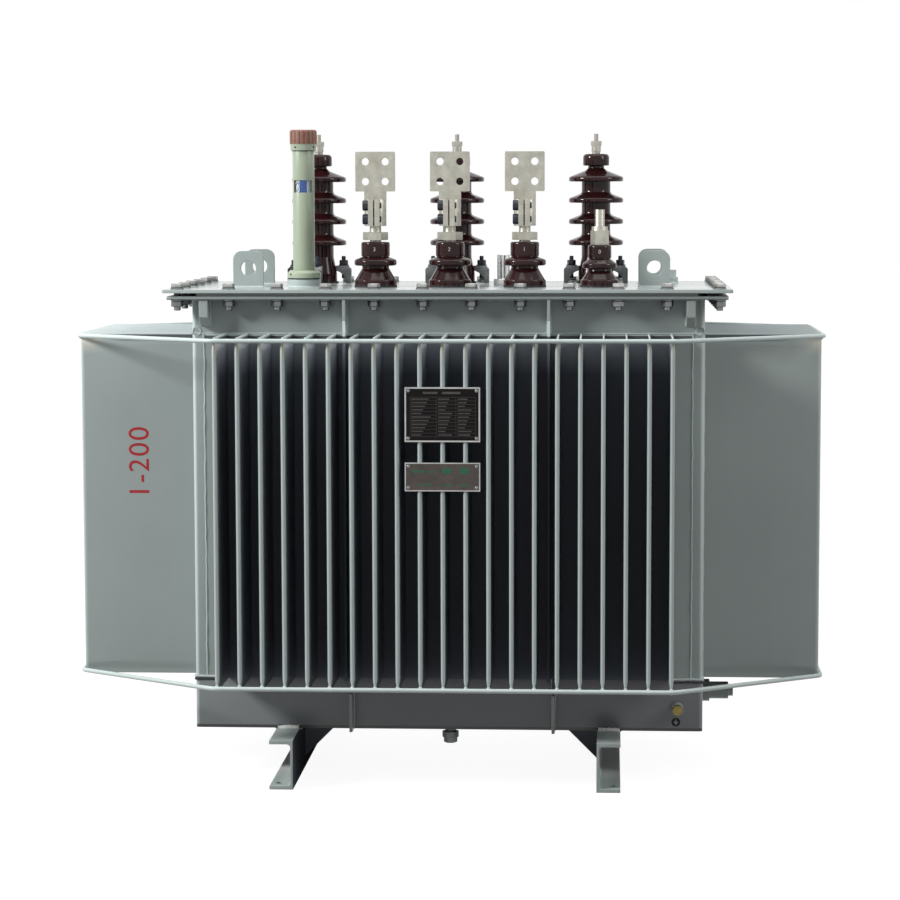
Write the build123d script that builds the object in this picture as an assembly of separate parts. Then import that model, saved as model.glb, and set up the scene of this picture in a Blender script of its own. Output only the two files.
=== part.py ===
"""Oil-filled distribution transformer: corrugated tank on two channel feet, bolted cover with bushings.

Millimetres. +X is the long way, the front with the low-voltage side is -Y, +Z is up.
The origin is on the floor, under the centre of the tank.
"""
import os

from build123d import *

# Feet: two channels that run front to back, webs inboard
foot_height = 110
foot_flange_width = 53
foot_web = 6
foot_flange = 8
foot_fillet = 8
foot_length = 800
foot_web_face = 337
foot_hole_diameter = 18
foot_hole_end_distance = 35
foot_hole_web_distance = 27
gusset_leg = 85
gusset_thickness = 8
gusset_side_distance = 106

# Tank body
tank_length = 1150
tank_width = 500
tank_wall = 6
tank_corner_radius = 8
bottom_thickness = 8
lower_band_height = 116
corrugated_height = 782
upper_band_height = 77
corner_post_width = 27

# Corrugated walls
fin_pitch = 50
fin_thickness = 9.5
fin_end_thickness = 3
fin_end_taper = 25
fin_tip_bevel = 3
front_fin_depth = 185
front_fin_margin = 75
end_fin_depth = 262
end_fin_margin = 50
fin_rod_diameter = 10
fin_rod_end_distance = 7

# Ribs and lugs on the bands
rib_thickness = 7
rib_depth = 45
rib_slope = 30
rib_end_distance = 347
lower_rib_offset = 11
tank_lug_thickness = 20
tank_lug_depth = 42
tank_lug_height = 60
tank_lug_corner_distance = 32

# Flange, gasket and cover
flange_end_overhang = 50
flange_side_overhang = 45
flange_thickness = 8
gasket_thickness = 7
gasket_width = 24
gasket_overhang = 6
stop_bar_width = 9
stop_bar_corner_distance = 67
cover_overhang = 10
cover_thickness = 8
cover_corner_radius = 6

# Lifting lugs on the cover
lift_lug_width = 70
lift_lug_height = 82
lift_lug_thickness = 12
lift_lug_corner_radius = 20
lift_lug_hole_diameter = 35
lift_lug_hole_drop = 40
lift_lug_end_distance = 110
lift_lug_side_distance = 146

# High-voltage bushings, rear row
hv_end_distance = 245
hv_side_distance = 80
hv_base_radius = 42
hv_base_height = 22
hv_flare_height = 39
hv_core_radius = 34
hv_shed_radius = 64.5
hv_shed_rim = 14
hv_shed_slope = 9
hv_shed_underside = 2
shed_rim_bevel = 3.5
hv_shed_pitch = 50
hv_shed_count = 4
hv_first_shed_height = 89
hv_top_cone_radius = 27
hv_top_cone_height = 12
hv_neck_radius = 19
hv_neck_height = 12
hv_head_radius = 31
hv_head_height = 28
hv_head_shoulder = 7
hv_foot_radius = 9.5
hv_foot_height = 5
hv_collar_radius = 11
hv_collar_height = 14
hv_nut_across = 22
hv_nut_height = 11
hv_stud_radius = 5
hv_stud_height = 352
clamp_reach = 76
clamp_width = 26
clamp_height = 41
clamp_back = 12
clamp_heel = 11
clamp_shoulder = 8
clamp_count = 4

# Low-voltage bushings, front row
lv_row_end_distance = 235
lv_side_distance = 120
lv_base_radius = 48
lv_base_height = 16
lv_base_ledge = 2
lv_neck_radius = 30.5
lv_neck_height = 33
lv_neck_straight = 6
lv_shed_radius = 48
lv_shed_rim = 13
lv_shed_slope = 7
lv_cap_gap = 2
lv_cap_groove = 2
lv_cap_radius = 32.5
lv_cap_height = 32
lv_cap_bevel = 5
lv_nut_across = 50
lv_nut_height = 18
lv_nut_lift = 4
lv_stud_radius = 13
lv_clamp_lift = 14
lv_clamp_height = 60
lv_clamp_barrel_radius = 25
lv_clamp_ear_width = 26
lv_clamp_ear_reach = 46
lv_clamp_slit = 3
flag_width = 90
flag_height = 90
flag_corner_radius = 3
flag_thickness = 12
flag_neck_height = 18
flag_neck_width = 50
flag_hole_diameter = 17
flag_hole_spacing = 45
neutral_base_radius = 43
neutral_neck_radius = 27
neutral_shoulder_radius = 39
neutral_neck_height = 27
neutral_shoulder_rim = 10
neutral_shoulder_slope = 11
neutral_cap_radius = 26.5
neutral_cap_height = 30
neutral_nut_across = 36
neutral_nut_height = 16
neutral_washer_height = 9
neutral_stud_radius = 11
neutral_stud_height = 175

# Oil gauge and the small fittings on the cover
gauge_side_distance = 175
gauge_base_radius = 38
gauge_base_height = 37
gauge_base_bevel = 6
gauge_joint_height = 17
gauge_joint_gap = 2
gauge_tube_radius = 25
gauge_tube_height = 311
gauge_tube_wall = 3
gauge_window_top = 243
gauge_window_height = 28
gauge_window_width = 40
gauge_glass_thickness = 2
gauge_collar_radius = 29.5
gauge_collar_height = 15
gauge_cap_radius = 31
gauge_cap_height = 32
gauge_cap_bevel = 3
gauge_cap_groove_count = 18
gauge_cap_groove_radius = 1.5
pocket_off_centre = 116
pocket_side_distance = 230
pocket_radius = 14.5
pocket_height = 70
pocket_boss_radius = 20
pocket_boss_height = 14
plug_end_distance = 65
plug_side_distance = 80
plug_boss_radius = 15
plug_boss_height = 14
plug_head_across = 19
plug_head_height = 17

# Valve, plug, earthing and plates on the tank
valve_drop = 50
valve_flange_radius = 26
valve_flange_thickness = 24
valve_body_radius = 20
valve_body_length = 44
valve_tip_radius = 13.5
valve_tip_length = 11
sump_plug_side_distance = 100
sump_boss_radius = 19
sump_boss_height = 14
sump_head_radius = 12.5
sump_head_height = 13
earth_end_distance = 57
earth_height = 54
earth_boss_radius = 13.5
earth_boss_length = 24
earth_bolt_across = 21
earth_bolt_length = 12
plate_thickness = 2
plate_width = 165
rating_plate_height = 120
info_plate_height = 63
plate_gap = 45
plate_drop = 107

# Heights and faces that follow from the sizes above
tank_end = tank_length / 2
tank_side = tank_width / 2
band_bottom = foot_height
wall_bottom = band_bottom + lower_band_height
wall_top = wall_bottom + corrugated_height
band_top = wall_top + upper_band_height
flange_top = band_top + flange_thickness
gasket_top = flange_top + gasket_thickness
cover_top = gasket_top + cover_thickness
front_fin_tip = tank_side + front_fin_depth
end_fin_tip = tank_end + end_fin_depth
front_fin_count = int((tank_length - 2 * front_fin_margin) / fin_pitch) + 1
end_fin_count = int((tank_width - 2 * end_fin_margin) / fin_pitch) + 1
flange_length = tank_length + 2 * flange_end_overhang
flange_width = tank_width + 2 * flange_side_overhang
hv_row = tank_side - hv_side_distance
lv_row = tank_side - lv_side_distance
lv_spacing = (tank_end - lv_row_end_distance) / 2
hv_spacing = tank_end - hv_end_distance

LOW = Align.MIN
MID = Align.CENTER
HIGH = Align.MAX


def save(name, *solids):
    """Write one node, a single solid or several that don't touch."""
    shape = solids[0] if len(solids) == 1 else Compound(children=list(solids))
    export_step(shape, f"parts/{name}.step")


def turned(outline):
    """Revolve an outline of (radius, height) points about the vertical axis."""
    return revolve(make_face(Plane.XZ * Polyline(*outline, close=True)), Axis.Z)


def hexagon_prism(across, height):
    """A hexagon head or nut, by its width across the flats."""
    return extrude(RegularPolygon(across / 2, 6, major_radius=False), height)


def ring(length, width, radius, wall, height):
    """A closed band of sheet, upright, round a rounded rectangle."""
    outer = RectangleRounded(length, width, radius)
    inner = Rectangle(length - 2 * wall, width - 2 * wall)
    return extrude(outer - inner, height)


# Feet

def foot(side):
    """One channel: the web faces the middle, the flanges point outwards and have the foot holes."""
    channel = Rectangle(foot_flange_width, foot_height, align=(LOW, LOW))
    throat = Pos(foot_web, foot_flange) * Rectangle(
        foot_flange_width, foot_height - 2 * foot_flange, align=(LOW, LOW))
    outline = channel - throat
    roots = outline.vertices().filter_by(lambda v: abs(v.X - foot_web) < foot_web / 2)
    profile = Plane.XZ * fillet(roots, foot_fillet)
    bar = extrude(profile, foot_length / 2, both=True)
    drill = Cylinder(foot_hole_diameter / 2, foot_flange, align=(MID, MID, LOW))
    hole_row = foot_length / 2 - foot_hole_end_distance
    for row in (-hole_row, hole_row):
        bar -= Pos(foot_web + foot_hole_web_distance, row) * drill
    placed = Pos(foot_web_face) * bar
    return placed if side > 0 else mirror(placed, Plane.YZ)


def foot_gussets():
    """Four triangles between the foot webs and the tank bottom, on the inner side."""
    triangle = Plane.XZ * Polyline((0, 0), (-gusset_leg, 0), (0, -gusset_leg), close=True)
    plate = extrude(make_face(triangle), gusset_thickness / 2, both=True)
    gussets = []
    inboard = tank_side - gusset_side_distance
    for row in (-inboard, inboard):
        right = Pos(foot_web_face, row, foot_height) * plate
        gussets += [right, mirror(right, Plane.YZ)]
    return gussets


# Tank

def corner_posts():
    """Angle posts at the four corners, between the lower and the upper band."""
    frame = ring(tank_length, tank_width, tank_corner_radius, tank_wall, corrugated_height)
    cut_length = tank_length - 2 * corner_post_width
    cut_width = tank_width - 2 * corner_post_width
    frame -= Box(cut_length, tank_width, corrugated_height, align=(MID, MID, LOW))
    frame -= Box(tank_length, cut_width, corrugated_height, align=(MID, MID, LOW))
    return (Pos(0, 0, wall_bottom) * frame).solids()


def fin(depth):
    """One fin that stands out along -Y from the wall face, pinched thin at its two ends."""
    half = fin_thickness / 2
    thin = fin_end_thickness / 2
    right_edge = [(thin, 0), (half, fin_end_taper), (half, corrugated_height - fin_end_taper),
                  (thin, corrugated_height)]
    left_edge = [(-x, z) for x, z in reversed(right_edge)]
    front_view = make_face(Plane.XZ * Polyline(*right_edge, *left_edge, close=True))
    plan_view = make_face(Polyline(
        (-half, 0), (-half, fin_tip_bevel - depth), (fin_tip_bevel - half, -depth),
        (half - fin_tip_bevel, -depth), (half, fin_tip_bevel - depth), (half, 0), close=True))
    return extrude(front_view, depth) & extrude(plan_view, corrugated_height)


def corrugated_wall(length, count, depth):
    """A wall sheet with its row of fins, facing -Y, with the outer face of the sheet at Y = 0."""
    sheet = Box(length, tank_wall, corrugated_height, align=(MID, LOW, LOW))
    pad = fin(depth)
    first = -(count - 1) / 2
    fins = [Pos((first + index) * fin_pitch) * pad for index in range(count)]
    return sheet + fins


def side_wall(side):
    """The corrugated wall of the front (-1) or the rear (+1)."""
    wall = corrugated_wall(tank_length - 2 * corner_post_width, front_fin_count, front_fin_depth)
    placed = Pos(0, -tank_side, wall_bottom) * wall
    return placed if side < 0 else mirror(placed, Plane.XZ)


def end_wall(side):
    """The corrugated wall of the left (-1) or the right (+1) end."""
    wall = corrugated_wall(tank_width - 2 * corner_post_width, end_fin_count, end_fin_depth)
    placed = Pos(-tank_end, 0, wall_bottom) * Rot(0, 0, -90) * wall
    return placed if side < 0 else mirror(placed, Plane.YZ)


def rod_loop():
    """The centre line of the round rod that ties the fin tips, as corners going round the tank."""
    reach = fin_rod_diameter / 2
    along = (front_fin_count - 1) / 2 * fin_pitch + fin_thickness / 2
    across = (end_fin_count - 1) / 2 * fin_pitch + fin_thickness / 2
    quarter = [(end_fin_tip + reach, across), (along, front_fin_tip + reach)]
    left = [(-x, y) for x, y in reversed(quarter)]
    lower = [(-x, -y) for x, y in quarter] + [(x, -y) for x, y in reversed(quarter)]
    return [Vector(*corner) for corner in quarter + left + lower]


def fin_rods():
    """Every rod of the loop, cut to a mitre where it meets the next one, at both rod heights."""
    corners = rod_loop()
    count = len(corners)
    heights = (wall_bottom + fin_rod_end_distance, wall_top - fin_rod_end_distance)
    rods = []
    for index in range(count):
        start, end = corners[index], corners[(index + 1) % count]
        along = (end - start).normalized()
        before = (start - corners[index - 1]).normalized()
        after = (corners[(index + 2) % count] - end).normalized()
        run = Plane(origin=start - along * fin_rod_diameter, z_dir=along)
        bar = extrude(run * Circle(fin_rod_diameter / 2), (end - start).length + 2 * fin_rod_diameter)
        bar = split(bar, Plane(origin=start, z_dir=along + before), keep=Keep.TOP)
        bar = split(bar, Plane(origin=end, z_dir=along + after), keep=Keep.BOTTOM)
        rods.append([Pos(0, 0, height) * bar for height in heights])
    return rods


def stiffening_ribs():
    """Upright flat bars on the bands, between the fins, at the front and the rear."""
    lower = make_face(Plane.YZ * Polyline(
        (0, 0), (-rib_depth, 0), (-rib_depth, lower_band_height - rib_slope),
        (0, lower_band_height), close=True))
    upper = make_face(Plane.YZ * Polyline(
        (0, upper_band_height), (-rib_depth, upper_band_height), (-rib_depth, rib_slope),
        (0, 0), close=True))
    ribs = []
    for profile, height, offset in ((lower, band_bottom, lower_rib_offset), (upper, wall_top, 0)):
        bar = extrude(profile, rib_thickness / 2, both=True)
        for place in (rib_end_distance - tank_end, tank_end - rib_end_distance):
            front = Pos(place + offset, -tank_side, height) * bar
            ribs += [front, mirror(front, Plane.XZ)]
    return ribs


def tank_lugs():
    """Thick upright lugs under the flange, near the corners of the front and the rear."""
    lug = Box(tank_lug_thickness, tank_lug_depth, tank_lug_height, align=(MID, HIGH, HIGH))
    lower_edge = lug.edges().filter_by(Axis.X).sort_by(Axis.Z)[:2].sort_by(Axis.Y)[0]
    lug = chamfer(lower_edge, tank_lug_depth / 2)
    place = tank_end - tank_lug_corner_distance
    lugs = []
    for side in (-1, 1):
        front = Pos(side * place, -tank_side, band_top) * lug
        lugs += [front, mirror(front, Plane.XZ)]
    return lugs


# Flange, gasket and cover

def tank_flange():
    outer = Rectangle(flange_length, flange_width)
    opening = Rectangle(tank_length - 2 * tank_wall, tank_width - 2 * tank_wall)
    return Pos(0, 0, band_top) * extrude(outer - opening, flange_thickness)


def cover_gasket():
    band = ring(tank_length + 2 * gasket_overhang, tank_width + 2 * gasket_overhang, tank_corner_radius,
                gasket_width, gasket_thickness)
    return Pos(0, 0, flange_top) * band


def gasket_stop_bars():
    length = flange_length - 2 * stop_bar_corner_distance
    bar = Box(length, stop_bar_width, gasket_thickness, align=(MID, LOW, LOW))
    front = Pos(0, -flange_width / 2, flange_top) * bar
    return [front, mirror(front, Plane.XZ)]


def cover_plate():
    cover_length = flange_length + 2 * cover_overhang
    cover_width = flange_width + 2 * cover_overhang
    outline = RectangleRounded(cover_length, cover_width, cover_corner_radius)
    return Pos(0, 0, gasket_top) * extrude(outline, cover_thickness)


def lift_lug():
    """An upright plate with rounded shoulders and a shackle hole, standing on Z = 0."""
    blank = Plane.XZ * Rectangle(lift_lug_width, lift_lug_height, align=(MID, LOW))
    plate = extrude(blank, lift_lug_thickness / 2, both=True)
    shoulders = plate.edges().filter_by(Axis.Y).sort_by(Axis.Z)[-2:]
    plate = fillet(shoulders, lift_lug_corner_radius)
    drill = Rot(90, 0, 0) * Cylinder(lift_lug_hole_diameter / 2, lift_lug_thickness)
    return plate - Pos(0, 0, lift_lug_height - lift_lug_hole_drop) * drill


# High-voltage bushings

def rounded_rim(radius, low, high):
    """The outer edge of a porcelain shed, bevelled below and above."""
    return [(radius - shed_rim_bevel, low), (radius, low + shed_rim_bevel),
            (radius, high - shed_rim_bevel), (radius - shed_rim_bevel, high)]


def hv_porcelain():
    """The shedded porcelain body, from its clamped base to the mushroom head under the terminal."""
    outline = [(0, 0), (hv_base_radius, 0), (hv_base_radius, hv_base_height),
               (hv_core_radius, hv_base_height + hv_flare_height)]
    for index in range(hv_shed_count):
        rim_low = hv_first_shed_height + index * hv_shed_pitch
        rim_high = rim_low + hv_shed_rim
        last = index == hv_shed_count - 1
        slope_top = (hv_core_radius, rim_high + hv_shed_slope)
        cone_top = (hv_top_cone_radius, rim_high + hv_top_cone_height)
        outline += [(hv_core_radius, rim_low + hv_shed_underside)]
        outline += rounded_rim(hv_shed_radius, rim_low, rim_high)
        outline += [cone_top if last else slope_top]
    head_low = outline[-1][1] + hv_neck_height
    head_top = head_low + hv_head_height
    outline += [(hv_neck_radius, head_low - hv_neck_height / 2), (hv_neck_radius, head_low),
                (hv_head_radius, head_low), (hv_head_radius, head_top - 2 * hv_head_shoulder),
                (hv_head_radius - hv_head_shoulder / 3, head_top - hv_head_shoulder / 2),
                (hv_head_radius - hv_head_shoulder, head_top), (0, head_top)]
    return turned(outline), head_top


def hv_terminal(head_top):
    """The stepped collar, nut and stud on top of a high-voltage bushing."""
    collar_top = hv_foot_height + hv_collar_height
    foot_ring = Cylinder(hv_foot_radius, hv_foot_height, align=(MID, MID, LOW))
    collar = Pos(0, 0, hv_foot_height) * Cylinder(hv_collar_radius, hv_collar_height, align=(MID, MID, LOW))
    nut = Pos(0, 0, collar_top) * hexagon_prism(hv_nut_across, hv_nut_height)
    stud = Cylinder(hv_stud_radius, hv_stud_height - head_top, align=(MID, MID, LOW))
    return Pos(0, 0, head_top) * (foot_ring + collar + nut + stud)


def flare_radius(height):
    """The radius of the high-voltage porcelain's flare at a height above the cover."""
    share = (height - hv_base_height) / hv_flare_height
    return hv_base_radius - share * (hv_base_radius - hv_core_radius)


def hv_clamp():
    """A cast clamp arching from a heel on the cover to a toe on the bushing's flare, along +X."""
    under = clamp_height - clamp_back
    top = Polyline((flare_radius(clamp_height), clamp_height), (clamp_reach - clamp_shoulder, clamp_height),
                   (clamp_reach, clamp_height - clamp_shoulder), (clamp_reach, 0),
                   (clamp_reach - clamp_heel, 0))
    arch = ThreePointArc((clamp_reach - clamp_heel, 0),
                         (clamp_reach - clamp_heel - clamp_back / 2, clamp_height - 2 * clamp_back),
                         (flare_radius(under), under))
    nose = Line((flare_radius(under), under), (flare_radius(clamp_height), clamp_height))
    outline = make_face(Plane.XZ * (top + arch + nose))
    return extrude(outline, clamp_width / 2, both=True)


# Low-voltage bushings

def lv_porcelain(base_radius, neck_radius, shed_radius, neck_height, shed_rim, shed_slope, cap_radius,
                 cap_height):
    """A short porcelain with a flared base, one shed and a cap."""
    shed_low = lv_base_height + neck_height
    shed_top = shed_low + shed_rim + shed_slope
    cap_low = shed_top + lv_cap_gap
    cap_top = cap_low + cap_height
    outline = [(0, 0), (base_radius, 0), (base_radius, lv_base_height),
               (base_radius - lv_base_ledge, lv_base_height),
               (neck_radius, shed_low - lv_neck_straight), (neck_radius, shed_low),
               *rounded_rim(shed_radius, shed_low, shed_low + shed_rim),
               (cap_radius - lv_cap_groove, shed_top), (cap_radius - lv_cap_groove, cap_low),
               (cap_radius, cap_low), (cap_radius, cap_top - lv_cap_bevel),
               (cap_radius - lv_cap_bevel, cap_top), (0, cap_top)]
    return turned(outline), cap_top


def lv_flag():
    """The flat terminal flag with four holes, on a short tab that widens out of the clamp."""
    tab = Rectangle(flag_neck_width, flag_neck_height, align=(MID, LOW))
    blade = RectangleRounded(flag_width, flag_height, flag_corner_radius, align=(MID, LOW))
    centre = flag_neck_height + flag_height / 2
    holes = GridLocations(flag_hole_spacing, flag_hole_spacing, 2, 2)
    drilled = tab + Pos(0, flag_neck_height) * blade - Pos(0, centre) * holes * Circle(flag_hole_diameter / 2)
    return extrude(Plane.XZ * drilled, flag_thickness / 2, both=True)


def lv_clamp():
    """The split clamp round the stud: a barrel with two ears in front of it."""
    barrel = Cylinder(lv_clamp_barrel_radius, lv_clamp_height, align=(MID, MID, LOW))
    ears = Box(lv_clamp_ear_width, lv_clamp_ear_reach, lv_clamp_height, align=(MID, HIGH, LOW))
    slit = Box(lv_clamp_slit, lv_clamp_ear_reach, lv_clamp_height, align=(MID, HIGH, LOW))
    return barrel + ears - slit


def lv_terminal(cap_top):
    """Hex nut, stud, split clamp and flag of a low-voltage bushing."""
    nut = Pos(0, 0, lv_nut_lift) * hexagon_prism(lv_nut_across, lv_nut_height)
    clamp_low = lv_nut_lift + lv_nut_height + lv_clamp_lift
    clamp_top = clamp_low + lv_clamp_height
    stud = Cylinder(lv_stud_radius, clamp_top, align=(MID, MID, LOW))
    clamp = Pos(0, 0, clamp_low) * lv_clamp()
    return Pos(0, 0, cap_top) * (nut + clamp + stud + Pos(0, 0, clamp_top) * lv_flag())


def neutral_terminal(cap_top):
    """Two nuts and a thick washer on the plain stud of the neutral bushing."""
    nut = hexagon_prism(neutral_nut_across, neutral_nut_height)
    washer = Cylinder(neutral_nut_across / 2, neutral_washer_height, align=(MID, MID, LOW))
    stud = Cylinder(neutral_stud_radius, neutral_stud_height - cap_top, align=(MID, MID, LOW))
    second = Pos(0, 0, neutral_nut_height) * nut
    return Pos(0, 0, cap_top) * (nut + second + Pos(0, 0, 2 * neutral_nut_height) * washer + stud)


# Oil gauge and small fittings on the cover

def gauge_base():
    """A welded socket and the gauge's own flange on it, with a joint line between them."""
    joint_top = gauge_joint_height + gauge_joint_gap
    joint_radius = gauge_base_radius - gauge_joint_gap
    outline = [(0, 0), (gauge_base_radius, 0), (gauge_base_radius, gauge_joint_height),
               (joint_radius, gauge_joint_height), (joint_radius, joint_top),
               (gauge_base_radius, joint_top), (gauge_base_radius, gauge_base_height - gauge_base_bevel),
               (gauge_base_radius - gauge_base_bevel, gauge_base_height), (0, gauge_base_height)]
    return turned(outline)


def gauge_tube():
    """The upright tube, with the window opening in its front."""
    height = gauge_tube_height - gauge_base_height
    tube = Cylinder(gauge_tube_radius, height, align=(MID, MID, LOW))
    tube -= Cylinder(gauge_tube_radius - gauge_tube_wall, height, align=(MID, MID, LOW))
    opening = Box(gauge_window_width, gauge_tube_radius, gauge_window_height, align=(MID, HIGH, HIGH))
    return Pos(0, 0, gauge_base_height) * tube - Pos(0, 0, gauge_window_top) * opening


def gauge_sight_glass():
    """The round sight glass that shows in the window, inside the tube."""
    radius = gauge_tube_radius - gauge_tube_wall
    height = gauge_window_height + 2 * gauge_tube_wall
    glass = Cylinder(radius, height, align=(MID, MID, HIGH))
    glass -= Cylinder(radius - gauge_glass_thickness, height, align=(MID, MID, HIGH))
    return Pos(0, 0, gauge_window_top + gauge_tube_wall) * glass


def gauge_cap():
    """The collar and the grooved filler cap."""
    top = gauge_collar_height + gauge_cap_height
    collar = [(0, 0), (gauge_collar_radius, 0), (gauge_collar_radius, gauge_collar_height),
              (gauge_cap_radius, gauge_collar_height), (gauge_cap_radius, top - gauge_cap_bevel),
              (gauge_cap_radius - gauge_cap_bevel, top), (0, top)]
    cap = turned(collar)
    groove = Pos(0, 0, gauge_collar_height) * Cylinder(
        gauge_cap_groove_radius, gauge_cap_height, align=(MID, MID, LOW))
    grooves = PolarLocations(gauge_cap_radius, gauge_cap_groove_count) * groove
    return Pos(0, 0, gauge_tube_height) * (cap - grooves)


def thermometer_pocket():
    boss = hexagon_prism(2 * pocket_boss_radius, pocket_boss_height)
    return boss + Cylinder(pocket_radius, pocket_height, align=(MID, MID, LOW))


def filler_plug():
    boss = Cylinder(plug_boss_radius, plug_boss_height, align=(MID, MID, LOW))
    return boss + Pos(0, 0, plug_boss_height) * hexagon_prism(plug_head_across, plug_head_height)


# Fittings on the tank

def drain_valve():
    """Valve that stands out of the right end along +X."""
    body_end = valve_flange_thickness + valve_body_length
    tip_end = body_end + valve_tip_length
    outline = [(0, 0), (valve_flange_radius, 0), (valve_flange_radius, valve_flange_thickness),
               (valve_body_radius, valve_flange_thickness), (valve_body_radius, body_end),
               (valve_tip_radius, body_end), (valve_tip_radius, tip_end), (0, tip_end)]
    return Pos(tank_end, 0, foot_height + valve_drop) * Rot(0, 90, 0) * turned(outline)


def sump_plug():
    """Drain plug under the tank bottom, near the front."""
    boss = Cylinder(sump_boss_radius, sump_boss_height, align=(MID, MID, HIGH))
    head = Cylinder(sump_head_radius, sump_boss_height + sump_head_height, align=(MID, MID, HIGH))
    return Pos(0, sump_plug_side_distance - tank_side, foot_height) * (boss + head)


def earthing_stud():
    boss = Cylinder(earth_boss_radius, earth_boss_length, align=(MID, MID, LOW))
    bolt = Pos(0, 0, earth_boss_length) * hexagon_prism(earth_bolt_across, earth_bolt_length)
    place = tank_end - earth_end_distance
    return Pos(place, -tank_side, foot_height + earth_height) * Rot(90, 0, 0) * (boss + bolt)


def plate(height, top):
    """A thin plate on the tips of the front fins."""
    blank = Box(plate_width, plate_thickness, height, align=(MID, HIGH, HIGH))
    return Pos(0, -front_fin_tip, top) * blank


def main():
    os.makedirs("parts", exist_ok=True)

    save("foot_left", foot(-1))
    save("foot_right", foot(1))
    save("foot_gussets", *foot_gussets())

    inner_length = tank_length - 2 * tank_wall
    inner_width = tank_width - 2 * tank_wall
    bottom = Box(inner_length, inner_width, bottom_thickness, align=(MID, MID, LOW))
    save("tank_bottom", Pos(0, 0, band_bottom) * bottom)
    lower = ring(tank_length, tank_width, tank_corner_radius, tank_wall, lower_band_height)
    save("lower_band", Pos(0, 0, band_bottom) * lower)
    upper = ring(tank_length, tank_width, tank_corner_radius, tank_wall, upper_band_height)
    save("upper_band", Pos(0, 0, wall_top) * upper)
    save("corner_posts", *corner_posts())
    save("front_corrugated_wall", side_wall(-1))
    save("rear_corrugated_wall", side_wall(1))
    save("left_corrugated_wall", end_wall(-1))
    save("right_corrugated_wall", end_wall(1))

    rods = fin_rods()
    corner_rods = rods[0] + rods[2] + rods[4] + rods[6]
    save("rear_fin_rods", *rods[1])
    save("left_fin_rods", *rods[3])
    save("front_fin_rods", *rods[5])
    save("right_fin_rods", *rods[7])
    save("corner_fin_rods", *corner_rods)
    save("stiffening_ribs", *stiffening_ribs())
    save("tank_lifting_lugs", *tank_lugs())

    save("tank_flange", tank_flange())
    save("cover_gasket", cover_gasket())
    save("gasket_stop_bars", *gasket_stop_bars())
    save("cover_plate", cover_plate())
    lug_length_spacing = tank_length - 2 * lift_lug_end_distance
    lug_width_spacing = tank_width - 2 * lift_lug_side_distance
    corners = GridLocations(lug_length_spacing, lug_width_spacing, 2, 2)
    save("cover_lifting_lugs", *(Pos(0, 0, cover_top) * corners * lift_lug()))

    porcelain, head_top = hv_porcelain()
    clamps = []
    for number, place in enumerate((-hv_spacing, 0, hv_spacing), start=1):
        stand = Pos(place, hv_row, cover_top)
        save(f"hv_bushing_{number}", stand * porcelain)
        save(f"hv_terminal_{number}", stand * hv_terminal(head_top))
        clamps += stand * PolarLocations(0, clamp_count) * hv_clamp()
    save("hv_bushing_clamps", *clamps)

    porcelain, cap_top = lv_porcelain(
        lv_base_radius, lv_neck_radius, lv_shed_radius, lv_neck_height, lv_shed_rim, lv_shed_slope,
        lv_cap_radius, lv_cap_height)
    for number, place in enumerate((-lv_spacing, 0, lv_spacing), start=1):
        stand = Pos(place, -lv_row, cover_top)
        save(f"lv_bushing_{number}", stand * porcelain)
        save(f"lv_terminal_{number}", stand * lv_terminal(cap_top))
    porcelain, cap_top = lv_porcelain(
        neutral_base_radius, neutral_neck_radius, neutral_shoulder_radius, neutral_neck_height,
        neutral_shoulder_rim, neutral_shoulder_slope, neutral_cap_radius, neutral_cap_height)
    stand = Pos(2 * lv_spacing, -lv_row, cover_top)
    save("neutral_bushing", stand * porcelain)
    save("neutral_terminal", stand * neutral_terminal(cap_top))

    stand = Pos(-2 * lv_spacing, gauge_side_distance - tank_side, cover_top)
    save("oil_gauge_base", stand * gauge_base())
    save("oil_gauge_tube", stand * gauge_tube())
    save("oil_gauge_glass", stand * gauge_sight_glass())
    save("oil_gauge_cap", stand * gauge_cap())
    stand = Pos(pocket_off_centre, tank_side - pocket_side_distance, cover_top)
    save("thermometer_pocket", stand * thermometer_pocket())
    stand = Pos(tank_end - plug_end_distance, tank_side - plug_side_distance, cover_top)
    save("filler_plug", stand * filler_plug())

    save("drain_valve", drain_valve())
    save("sump_plug", sump_plug())
    save("earthing_stud", earthing_stud())
    rating_top = wall_top - plate_drop
    save("rating_plate", plate(rating_plate_height, rating_top))
    save("info_plate", plate(info_plate_height, rating_top - rating_plate_height - plate_gap))


if __name__ == "__main__":
    main()
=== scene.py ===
"""Oil-filled distribution transformer: the pieces and finishes that dress its fixed frame.

Metres. +X is the long way of the tank, -Y the front with the low-voltage bushings, +Z is up.
"""

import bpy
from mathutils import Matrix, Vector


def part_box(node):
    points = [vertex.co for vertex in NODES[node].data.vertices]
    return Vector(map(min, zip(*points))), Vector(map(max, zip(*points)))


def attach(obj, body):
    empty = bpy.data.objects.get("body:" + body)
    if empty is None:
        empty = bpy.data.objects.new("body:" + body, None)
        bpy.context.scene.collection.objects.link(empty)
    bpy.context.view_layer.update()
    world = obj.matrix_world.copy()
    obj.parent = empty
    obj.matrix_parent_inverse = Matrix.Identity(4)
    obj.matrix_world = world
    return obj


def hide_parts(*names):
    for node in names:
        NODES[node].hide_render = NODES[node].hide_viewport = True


bl_info = {
    "name": "Distribution transformer",
    "version": (1, 0, 0),
    "blender": (4, 5, 0),
    "location": "View3D > Sidebar > Transformer",
    "description": "Builds the fins, porcelain, fasteners, welds, plates and finishes of a distribution transformer",
    "category": "Object",
}

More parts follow.
